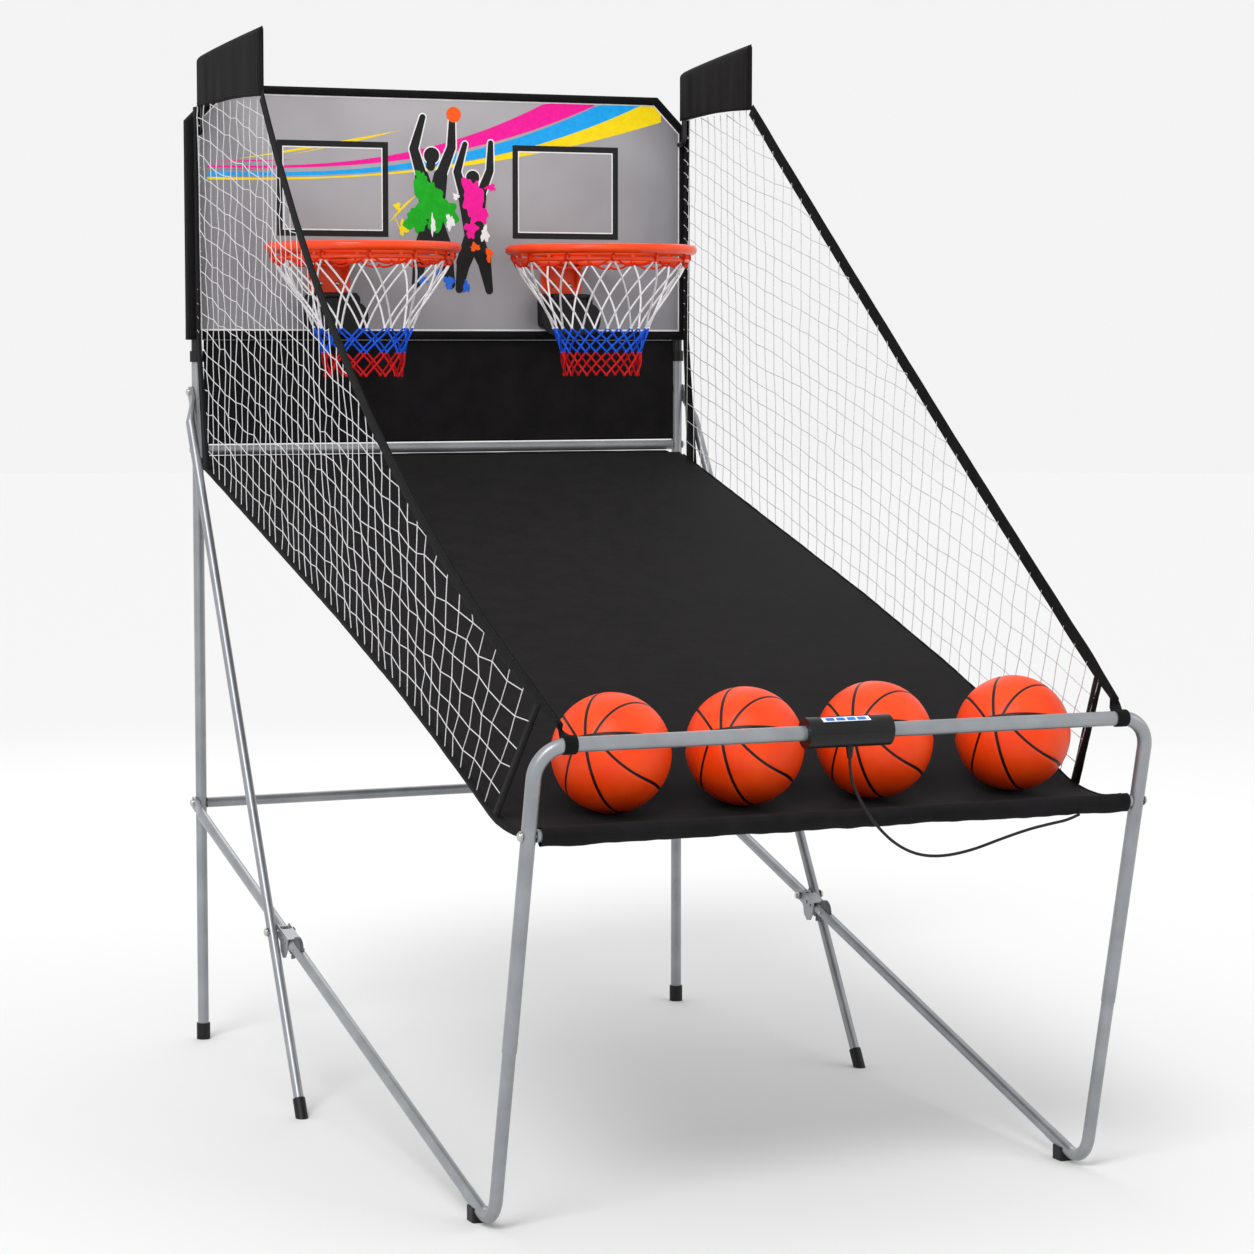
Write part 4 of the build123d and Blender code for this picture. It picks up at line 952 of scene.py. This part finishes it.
# %% the net's surface
NET_X = 482.0
NET_REAR = 43.0
NET_FRONT = 1500.0
NET_LEAN = 122.0
STRAP_FROM = (465.0, 364.0, 1711.0)
STRAP_TO = (449.0, 1688.0, 748.0)
STRAP_OUT = 40.0
STRAP_SAG = 66.0


def strap_line(t):
    """The middle of the webbing: (x, depth, z) at a share t of its run."""
    bow = 4 * t * (1 - t)
    x, depth, z = (a + (b - a) * t for a, b in zip(STRAP_FROM, STRAP_TO))
    return x + STRAP_OUT * bow, depth, z - STRAP_SAG * bow


def net_top(depth):
    """Where a net cord ends at the top: under the wing behind the strap, then along the strap."""
    if depth < STRAP_FROM[1]:
        share = (depth - NET_REAR) / (STRAP_FROM[1] - NET_REAR)
        return 487 - 22 * share, depth, 1712.0
    x, d, z = strap_line((depth - STRAP_FROM[1]) / (STRAP_TO[1] - STRAP_FROM[1]))
    return x, d, z - 8


def net_foot(depth):
    return NET_X, depth, ramp_height(depth) - 3


def net_point(u, height):
    """A point of the net: u from rear to front along its foot, height above the foot in mm."""
    foot = net_foot(NET_REAR + (NET_FRONT - NET_REAR) * u)
    top = net_top(foot[1] + NET_LEAN * u ** 4)
    rise = top[2] - foot[2]
    share = min(1.0, max(0.0, height / rise))
    return [a + (b - a) * share for a, b in zip(foot, top)], rise


MESH = (33.0, 35.0)         # between upright cords, and between sloping ones
MOST_SLOPES = 60            # more sloping cords than any upright one crosses


def net_lines(side, seed, uneven):
    """The cords of one side net, and its crossings; uneven says how far they stray."""
    chance = random.Random(seed)
    count = round((NET_FRONT - NET_REAR) / MESH[0])
    gap = MESH[1]
    crossings = {}
    for i in range(count + 1):
        u = i / count
        rise = net_point(u, 0)[1]
        for k in range(int(rise // gap) + 1):
            inside = 0 < k and (k + 0.4) * gap < rise
            low_wave = wave(Vector((u * 1.4, k * 0.21, 0)), 200, seed) * 8
            shift = (chance.uniform(-5, 5) * uneven + low_wave) if inside else 0
            slide = chance.uniform(-0.0045, 0.0045) * uneven if inside and 0 < i < count else 0
            (x, depth, z), _ = net_point(min(1, max(0, u + slide)), k * gap + shift)
            sway = wave(Vector((depth * MM, z * MM, 0)), 150, seed) * 3
            x -= 0 if k == 0 else sway
            crossings[i, k] = at(side * x, depth, z)
    uprights = []
    for i in range(count + 1):
        line = [crossings[i, k] for k in range(MOST_SLOPES) if (i, k) in crossings]
        (x, depth, z), _ = net_point(i / count, 5000)
        uprights.append(line + [at(side * x, depth, z)])
    slopes = []
    for k in range(MOST_SLOPES):
        line = [crossings[i, k] for i in range(count + 1) if (i, k) in crossings]
        if len(line) > 1:
            slopes.append(line)
    return uprights, slopes, crossings


# %% side nets
CORD_R = 0.8
KNOT_R = 1.4
UNEVEN = {"left": 1.0, "right": 0.35}
for side, sign in SIDES.items():
    uprights, slopes, crossings = net_lines(sign, 11 + sign, UNEVEN[side])
    strings = strands(f"side_net_{side}", uprights + slopes, CORD_R, net_cord, sides=6)
    bm = bmesh.new()
    for (i, k), place in crossings.items():
        if k > 0:
            bmesh.ops.create_icosphere(bm, subdivisions=1, radius=KNOT_R * MM,
                                       matrix=Matrix.Translation(place))
    knots = put(f"side_net_knots_{side}", bm, net_cord)
    net = joined(f"side_net_{side}", strings, knots)
    bend(net)
    print(net.name, len(uprights), "uprights", len(slopes), "slopes")
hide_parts("side_nets")

# %% lacing at the rear posts
LACE_STEP = 25.0
for side, sign in SIDES.items():
    laces = []
    z = 1302.0
    while z < 1700:
        middle = wave(Vector((0, 0, z * MM)), 30, sign) * 2
        laces.append([at(sign * x, depth, z + up) for x, depth, up in (
            (482.5, 44, 0), (485.6, 43, 1 + middle), (486.6, 34, 5), (486.4, 26, 9 + middle), (484, 24, 11))])
        z += LACE_STEP
    lacing = strands(f"net_lacing_{side}", laces, CORD_R, net_cord, sides=6, rounded=True)
    settle(lacing, "rear_frame")
    print(lacing.name, len(laces))

# %% [markdown]
# Black webbing runs along the upper edge of each net, from the wing down to the rail, and ends in a
# loop round the rail. A black tape runs down the front edge of the net to the ramp, and one up its
# rear edge. They are flat straps, so they are modelled directly, and the webbing has a stitched line
# near each edge.

# %% webbing along the nets
STRAP_H = 25.0
STRAP_T = 2.0
STRAP_STEPS = 96


def strap_row(sign, t):
    """One section of the webbing: eight points round a flat band, narrower at its very end."""
    x, depth, z = strap_line(t)
    narrow = max(0.0, (t - 0.93) / 0.07)
    height = STRAP_H * (1 - narrow) + 15 * narrow
    x += wave(Vector((0, t * 1.3, sign)), 60, 4) * 0.8
    ahead = at(*strap_line(min(1, t + 0.01))) - at(*strap_line(max(0, t - 0.01)))
    ahead.normalize()
    up = Vector((1, 0, 0)).cross(ahead).normalized()
    if up.z < 0:
        up.negate()
    middle = at(sign * (x + 1.2), depth, z)
    half, thick = height / 2 * MM, STRAP_T / 2 * MM
    outline = [(-1, 0.4), (-0.9, 1), (0.9, 1), (1, 0.4), (1, -0.4), (0.9, -1), (-0.9, -1), (-1, -0.4)]
    return [middle + up * (half * a) + Vector((sign * thick * b, 0, 0)) for a, b in outline]


for side, sign in SIDES.items():
    rows = [strap_row(sign, i / STRAP_STEPS) for i in range(STRAP_STEPS + 1)]
    strap = loft(f"edge_strap_{side}", [rows], webbing)
    threads = []
    for edge in (-0.72, 0.72):
        line = []
        for i in range(STRAP_STEPS + 1):
            row = rows[i]
            low, high = (row[0] + row[7]) / 2, (row[3] + row[4]) / 2
            line.append(low.lerp(high, (edge + 1) / 2) + Vector((sign * (STRAP_T / 2 + 0.2) * MM, 0, 0)))
        threads += stitch_line(line, 4.0, 2.0, Vector((sign * 0.3 * MM, 0, 0)))
    sewn = strands(f"edge_strap_stitches_{side}", threads, 0.4, stitching, sides=4)
    strap = joined(f"edge_strap_{side}", strap, sewn)
    bend(strap)
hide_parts("edge_straps")

# %% loops round the rail
RAIL_DEPTH = 1704.0
RAIL_Z = 726.0
LOOP_X = 446.0
LOOP_HALF = 10.0
for side, sign in SIDES.items():
    rows = []
    for share, radius in ((-1, 11.4), (-1, 12.9), (-0.9, 13.4), (0, 13.6), (0.9, 13.4), (1, 12.9), (1, 11.4)):
        row = []
        for i in range(48):
            turn = 2 * math.pi * i / 48
            loose = 0.5 * math.sin(turn * 2 + sign)
            reach = radius + (loose if radius > 12 else 0)
            row.append(at(sign * (LOOP_X + share * LOOP_HALF), RAIL_DEPTH + reach * math.cos(turn),
                          RAIL_Z + reach * math.sin(turn)))
        rows.append(row)
    loop = loft(f"rail_loop_{side}", [rows], webbing, cap=False, join=True)
    tail_rows = []
    for i in range(9):
        share = i / 8
        start = Vector(strap_line(0.985))
        end = Vector((LOOP_X, RAIL_DEPTH - 10.5, RAIL_Z + 9.0))
        middle = start.lerp(end, share)
        wide = 5.6 + 4.0 * share
        across = Vector((1, 0, 0)) * share + Vector((0, 0.5, 0.85)) * (1 - share)
        across.normalize()
        thin = Vector((0.85, 0, 0)) * (1 - share) + Vector((0, 0.7, 0.7)) * share
        corners = [(-1, -1), (1, -1), (1, 1), (-1, 1)]
        places = [middle + across * wide * a + thin * b for a, b in corners]
        tail_rows.append([at(sign * p.x, p.y, p.z) for p in places])
    tail = loft(f"rail_tail_{side}", [tail_rows], webbing)
    loop = joined(f"rail_loop_{side}", loop, tail)
    settle(loop, "front_frame")
print("rail loops done")

# %% border tapes of the nets
TAPE_W = 24.0


def tape_row(sign, foot, top, share, width_way, wider=1.0):
    """One section of a net's border tape, between its foot, which may be wider, and its top."""
    middle = foot.lerp(top, share)
    edge = wave(Vector((middle.y * MM, middle.z * MM, sign)), 18, 6) * 0.9
    half = TAPE_W / 2 * (wider + (1 - wider) * share) + edge
    thick = 0.9
    made = []
    for a, b in ((-1, -1), (1, -1), (1, 1), (-1, 1)):
        p = middle + width_way * (half * a)
        made.append(at(sign * (p.x + thick * b + 0.8), p.y, p.z))
    return made


for side, sign in SIDES.items():
    foot = Vector((482.0, 1512, 604))
    top_x, top_depth, top_z = strap_line(0.952)
    top = Vector((top_x, top_depth - 4, top_z - 3))
    front = loft(f"net_tape_front_{side}",
                 [[tape_row(sign, foot, top, i / 40, Vector((0, 1, 0))) for i in range(41)]], webbing)
    bend(front)
    foot = Vector((482.0, 66, 1056))
    bend_at = Vector((485.0, 32, 1290))
    top = Vector((487.0, 30.5, 1712))
    rear_rows = [tape_row(sign, foot, bend_at, i / 24, Vector((0, 1, 0)), 1.7) for i in range(24)]
    rear_rows += [tape_row(sign, bend_at, top, i / 40, Vector((0, 1, 0))) for i in range(41)]
    rear = loft(f"net_tape_rear_{side}", [rear_rows], webbing)
    settle(rear, "rear_frame")
    edge_rows = []
    for i in range(121):
        depth = 30 + (1650 - 30) * i / 120
        x, _, z = net_foot(depth)
        ruck = wave(Vector((depth * MM, 0, sign)), 24, 8) * 0.8
        section = [(-2.2, -7), (1.2, -7 + ruck), (1.9, -1), (1.6, 4 + ruck), (-1.2, 5), (-2.2, 0)]
        edge_rows.append([at(sign * (x + dx), depth, z + dz) for dx, dz in section])
    edge = loft(f"ramp_edge_tape_{side}", [edge_rows], webbing)
    bend(edge)
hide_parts("net_borders")

# %% [markdown]
# Each wing above the backboard is a cloth pouch over a bent bar. It is a flat bag, rounded at its
# upper rear corner, that rises to the front, with soft upright folds and a seam near its front edge.

# %% wing pouches
WING_X = 479.0
WING_TOE_IN = 14.0
WING_FAR = 20.0
WING_NEAR = 366.0
WING_BOTTOM = 1713.0
WING_T = 13.0


def wing_top(depth):
    """The pouch's upper edge: it rises to the front and rounds off at the rear."""
    share = (depth - WING_FAR) / (WING_NEAR - WING_FAR)
    rounded = math.sqrt(max(0.0, 1 - max(0.0, 1 - (depth - WING_FAR) / 16) ** 2))
    return 1800 + 30 * share ** 0.8 - 14 * (1 - rounded)


def wing_bottom(depth):
    share = (depth - WING_FAR) / (WING_NEAR - WING_FAR)
    return WING_BOTTOM - 2 + 5 * math.sin(math.pi * share)


def wing_point(sign, u, v, face):
    """A point on the pouch: u from rear to front, v from bottom to top, face -1 inside and 1 outside."""
    depth = WING_FAR + (WING_NEAR - WING_FAR) * u
    low, high = wing_bottom(depth), wing_top(depth)
    z = low + (high - low) * v
    x = WING_X - WING_TOE_IN * (depth - WING_FAR) / (WING_NEAR - WING_FAR)
    edge = min(1.0, u * 14, (1 - u) * 14, (1 - v) * 6)
    fat = WING_T / 2 * math.sqrt(max(0.0, 1 - (1 - edge) ** 2))
    seam = math.exp(-((depth - (WING_NEAR - 20)) / 2.2) ** 2) * 1.6
    folds = wave(Vector((depth * MM, z * MM * 0.22, sign * face * 0.5)), 30, 12)
    folds *= 2.0 * (0.35 + 0.65 * (1 - v))
    return at(sign * (x + face * max(0.3, fat + min(0.6, folds) * edge - seam * edge)), depth, z)


pouches = []
for side, sign in SIDES.items():
    columns, rows_up = 72, 26
    rows = []
    for i in range(columns + 1):
        u = i / columns
        outer_side = [wing_point(sign, u, j / rows_up, 1) for j in range(rows_up + 1)]
        inner_side = [wing_point(sign, u, j / rows_up, -1) for j in range(rows_up, -1, -1)]
        rows.append(outer_side + inner_side)
    pouch = loft(f"wing_pouch_{side}", [rows], ramp_cloth)
    threads = []
    for inset in (4.0, 8.0):
        line = [wing_point(sign, i / 60, inset / 100, 1) + Vector((sign * 0.3 * MM, 0, 0))
                for i in range(1, 60)]
        threads += stitch_line(line, 4.5, 2.2, Vector((sign * 0.3 * MM, 0, 0)))
    for face in (-1, 1):
        u_seam = 1 - 17 / (WING_NEAR - WING_FAR)
        line = [wing_point(sign, u_seam, j / 40, face) + Vector((sign * face * 0.3 * MM, 0, 0))
                for j in range(1, 40)]
        threads += stitch_line(line, 4.5, 2.2, Vector((sign * face * 0.3 * MM, 0, 0)))
    sewn = strands(f"wing_stitches_{side}", threads, 0.4, stitching, sides=4)
    for piece in (pouch, sewn):
        settle(piece, "rear_frame")
    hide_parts(f"wing_panel_{side}")
    pouches.append(pouch)
print("pouches", [p.name for p in pouches])

# %% [markdown]
# A hoop net hangs from twelve hooks on the thin ring. Orange-red cords make scallops round the hooks,
# pairs of white cords cross below them, and blue and then red cords make the lower meshes.

# %% hoop nets
HOOP_X = 232.0
HOOP_DEPTH = 212.0
HOOKS = 12
HOOP_CORD_R = (1.9, 2.3)    # of the net's cords, and of the orange scallops
HOOP_KNOT_R = 2.9
NET_SKIN = [(160.0, 1438.0), (156.0, 1426.0), (126.0, 1382.0), (98.0, 1336.0), (80.0, 1292.0), (72.0, 1262.0),
            (69.0, 1226.0)]
WHITE_END, BLUE_END, RED_END = 1314.0, 1270.0, 1228.0


def net_radius(z):
    for (r0, z0), (r1, z1) in zip(NET_SKIN, NET_SKIN[1:]):
        if z >= z1:
            return r0 + (r1 - r0) * (z0 - z) / (z0 - z1)
    return NET_SKIN[-1][0]


def hoop_point(sign, turn, z, out=0.0):
    radius = net_radius(z) + out
    return at(sign * HOOP_X + radius * math.cos(turn), HOOP_DEPTH + radius * math.sin(turn), z)


def crossing_run(sign, start, step, z_from, z_to, lean, seed):
    """One cord that goes from one knot to the next, down and sideways, with a slight slack curve."""
    made = []
    pieces = 8
    for i in range(pieces + 1):
        share = i / pieces
        turn = start + lean * step * share
        z = z_from + (z_to - z_from) * share
        over = 1.4 * math.sin(math.pi * share) * lean
        slack = wave(Vector((turn, z * MM * 4, seed)), 400, seed) * 2.2 * math.sin(math.pi * share)
        made.append(hoop_point(sign, turn, z, over + slack))
    return made


STEP = 2 * math.pi / HOOKS
hoop_net_pieces = []
for side, sign in SIDES.items():
    chance = random.Random(40 + sign)
    colours = {key: [] for key in hoop_cords}
    for i in range(HOOKS):
        hook = STEP * (i + 0.5)
        for lean in (-1, 1):
            end = hook + lean * STEP * 0.46
            colours["orange"].append([
                hoop_point(sign, hook, 1444, -1), hoop_point(sign, hook + lean * STEP * 0.1, 1436, 1.5),
                hoop_point(sign, hook + lean * STEP * 0.24, 1428, 1.5), hoop_point(sign, end, 1425, 0),
                hoop_point(sign, end + lean * STEP * 0.06, 1431, -1)])
            drop = chance.uniform(-5, 5)
            top = 1432 + drop / 3
            colours["white"].append(crossing_run(sign, hook + lean * STEP * 0.04, STEP * 0.96, top,
                                                 WHITE_END, lean, i))
            colours["blue"].append(crossing_run(sign, hook, STEP, WHITE_END, BLUE_END, lean, i + 1))
            colours["red"].append(crossing_run(sign, hook, STEP, BLUE_END, RED_END, lean, i + 2))
        eye = [2 * math.pi * j / 10 for j in range(11)]
        colours["orange"].append([hoop_point(sign, hook + 0.02 * math.cos(a), 1441 + 6 * math.sin(a),
                                             1 + 4 * math.cos(a)) for a in eye])
    knots = [(hook_turn, z, colour) for hook_turn in [STEP * (i + 0.5) for i in range(HOOKS)]
             for z, colour in ((WHITE_END, "white"), (BLUE_END, "blue"), (RED_END, "red"))]
    made = [strands(f"hoop_cords_{colour}_{side}", lines, HOOP_CORD_R[colour == "orange"],
                    hoop_cords[colour], sides=6, rounded=True) for colour, lines in colours.items()]
    bm = bmesh.new()
    for turn, z, colour in knots:
        bmesh.ops.create_icosphere(bm, subdivisions=2, radius=HOOP_KNOT_R * MM,
                                   matrix=Matrix.Translation(hoop_point(sign, turn, z)))
    knot_piece = put(f"hoop_knots_{side}", bm, hoop_cords["white"])
    for name in ("blue", "red"):
        knot_piece.data.materials.append(hoop_cords[name])
    heights = [(WHITE_END, 0), (BLUE_END, 1), (RED_END, 2)]
    for face in knot_piece.data.polygons:
        z = face.center.z / MM
        face.material_index = min(heights, key=lambda h: abs(h[0] - z))[1]
    made.append(knot_piece)
    for piece in made:
        settle(piece, "rear_frame")
    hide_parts(f"hoop_net_{side}")
    hoop_net_pieces += made
print("hoop net pieces", len(hoop_net_pieces))

# %% [markdown]
# The balls are moulded rubber: a pebbled orange skin with black channels. Two channels are great
# circles that cross at the front, and one more on each side comes close to that crossing and opens
# out towards the top and bottom. A cube is subdivided and rounded to a ball, so that it has no poles.

# %% ball skin
BALL_POLE = Vector((-0.7135, -0.5955, 0.3676)).normalized()
BALL_SIDE = Vector((0.6883, -0.6935, 0.2134)).normalized()
BALL_TOP = Vector((0.1278, 0.4053, 0.9047)).normalized()
SEAM_HALF = 2.4
SEAM_DEEP = 0.9
PINCH = math.radians(9)
OPEN = math.radians(48)
SWEEP = 0.55               # below 1, the side channels leave the crossing more like a V than a C


def ball_rubber():
    made, tree, shader = material("orange_moulded_rubber", IOR=1.52)
    shader.inputs["Specular IOR Level"].default_value = 0.28
    way = add(tree, "Attribute", attribute_name="ball_way")
    unit = add(tree, "VectorMath", links={0: way.outputs["Vector"]}, operation="NORMALIZE")
    split = add(tree, "SeparateXYZ", links={"Vector": unit.outputs["Vector"]})
    x, y, z = (split.outputs[k] for k in "XYZ")

    def maths(kind, *feeds):
        values = {i: f for i, f in enumerate(feeds) if not hasattr(f, "node")}
        links = {i: f for i, f in enumerate(feeds) if hasattr(f, "node")}
        return add(tree, "Math", values, links, operation=kind).outputs[0]

    sideways = maths("ARCSINE", maths("ABSOLUTE", x))
    upright = maths("ABSOLUTE", z)
    square_z = maths("MULTIPLY", z, z)
    square_y = maths("MULTIPLY", y, y)
    share = maths("DIVIDE", square_z, maths("ADD", maths("ADD", square_z, square_y), 1e-5))
    curve = maths("MULTIPLY_ADD", maths("POWER", share, SWEEP), OPEN - PINCH, PINCH)
    third = maths("ABSOLUTE", maths("SUBTRACT", sideways, curve))
    near = maths("MINIMUM", maths("MINIMUM", sideways, upright), third)
    distance = maths("MULTIPLY", near, BALL_R)
    black = add(tree, "MapRange", {"From Min": SEAM_HALF - 0.35, "From Max": SEAM_HALF + 0.35, "To Min": 1.0,
                                   "To Max": 0.0}, {"Value": distance})
    warm = spots(tree, 45, detail=2)
    skin = ramp_between(tree, warm.outputs["Fac"], "#ee3c04", "#f64a0a")
    mix = add(tree, "Mix", data_type="RGBA")
    tree.links.new(black.outputs["Result"], mix.inputs["Factor"])
    tree.links.new(skin, mix.inputs[6])
    mix.inputs[7].default_value = linear("#0f0b0a")
    tree.links.new(mix.outputs[2], shader.inputs["Base Color"])
    vary_roughness(tree, shader, warm.outputs["Fac"], 0.4, 0.5)
    where = add(tree, "TexCoord")
    pebbles = add(tree, "TexVoronoi", {"Scale": 1000 / 2.4}, {"Vector": where.outputs["Object"]})
    domes = maths("SUBTRACT", 1.0, pebbles.outputs["Distance"])
    grain = maths("MULTIPLY", domes, maths("SUBTRACT", 1.0, black.outputs["Result"]))
    raise_by(tree, shader, grain, 0.25, 0.5)
    return made


rubber = ball_rubber()


def seam_distance(way):
    """Distance in mm from a direction on the ball to its nearest channel."""
    x, y, z = (way.dot(axis) for axis in (BALL_SIDE, BALL_POLE, BALL_TOP))
    sideways = math.asin(min(1.0, abs(x)))
    share = z * z / (z * z + y * y + 1e-5)
    third = abs(sideways - (PINCH + (OPEN - PINCH) * share ** SWEEP))
    return min(sideways, abs(z), third) * BALL_R


BALL_CUTS = 63
for number, x in enumerate(BALL_X, 1):
    bm = bmesh.new()
    bmesh.ops.create_cube(bm, size=2)
    bmesh.ops.subdivide_edges(bm, edges=bm.edges[:], cuts=BALL_CUTS, use_grid_fill=True)
    ways = bm.verts.layers.float_vector.new("ball_way")
    centre = at(x, BALL_DEPTH, BALL_Z)
    for v in bm.verts:
        warped = Vector(math.tan(c * math.pi / 4) for c in v.co)
        way = warped.normalized()
        sunk = SEAM_DEEP * math.exp(-(seam_distance(way) / SEAM_HALF) ** 2)
        v[ways] = (way.dot(BALL_SIDE), way.dot(BALL_POLE), way.dot(BALL_TOP))
        v.co = centre + way * (BALL_R - sunk) * MM
    bmesh.ops.recalc_face_normals(bm, faces=bm.faces)
    ball = put(f"basketball_{number}", bm, rubber)
    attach(ball, f"ball_{number}")
    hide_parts(f"ball_{number}")
print("balls", len(BALL_X))

# %% [markdown]
# The controller's printed label lies in the shallow pocket of its face, round the four buttons.

# %% controller label
RAIL_AXIS = (RAIL_DEPTH, RAIL_Z)
TILT = math.radians(25)
CASE_X = -12.0
LABEL_MID = CASE_X - 6
LABEL_HALF = (38.4, 6.1)
LABEL_AT = 21.25
BUTTON_HALF = (6.8, 3.8)


def on_face(x, along_face, out):
    """A point on the tilted button face: out is the distance from the rail's axis."""
    depth = RAIL_AXIS[0] + out * math.sin(TILT) + along_face * math.cos(TILT)
    z = RAIL_AXIS[1] + out * math.cos(TILT) - along_face * math.sin(TILT)
    return at(x, depth, z)


BUTTON_PITCH = 17.0
LABEL_T = 0.25


def label_patch(bm, x0, x1, y0, y1):
    """One rectangle of the label, thickened outwards."""
    corners = ((x0, y0), (x1, y0), (x1, y1), (x0, y1))
    face = bm.faces.new([bm.verts.new(on_face(a, b, LABEL_AT)) for a, b in corners])
    made = bmesh.ops.extrude_face_region(bm, geom=[face])["geom"]
    moved = [g for g in made if isinstance(g, bmesh.types.BMVert)]
    lift = on_face(0, 0, LABEL_AT + LABEL_T) - on_face(0, 0, LABEL_AT)
    bmesh.ops.translate(bm, verts=moved, vec=lift)


bm = bmesh.new()
tall_half, button_x = LABEL_HALF[1], BUTTON_HALF[0]
for i in range(5):
    left_button = LABEL_MID + BUTTON_PITCH * (i - 2.5)
    right_button = LABEL_MID + BUTTON_PITCH * (i - 1.5)
    low = LABEL_MID - LABEL_HALF[0] if i == 0 else left_button + button_x
    high = LABEL_MID + LABEL_HALF[0] if i == 4 else right_button - button_x
    label_patch(bm, low, high, -tall_half, tall_half)
for i in range(4):
    x = LABEL_MID + BUTTON_PITCH * (i - 1.5)
    label_patch(bm, x - button_x, x + button_x, -tall_half, -BUTTON_HALF[1])
    label_patch(bm, x - button_x, x + button_x, BUTTON_HALF[1], tall_half)
bmesh.ops.recalc_face_normals(bm, faces=bm.faces)
label = put("controller_label", bm, label_film, smooth=False)
settle(label, "front_frame")
print("label done")
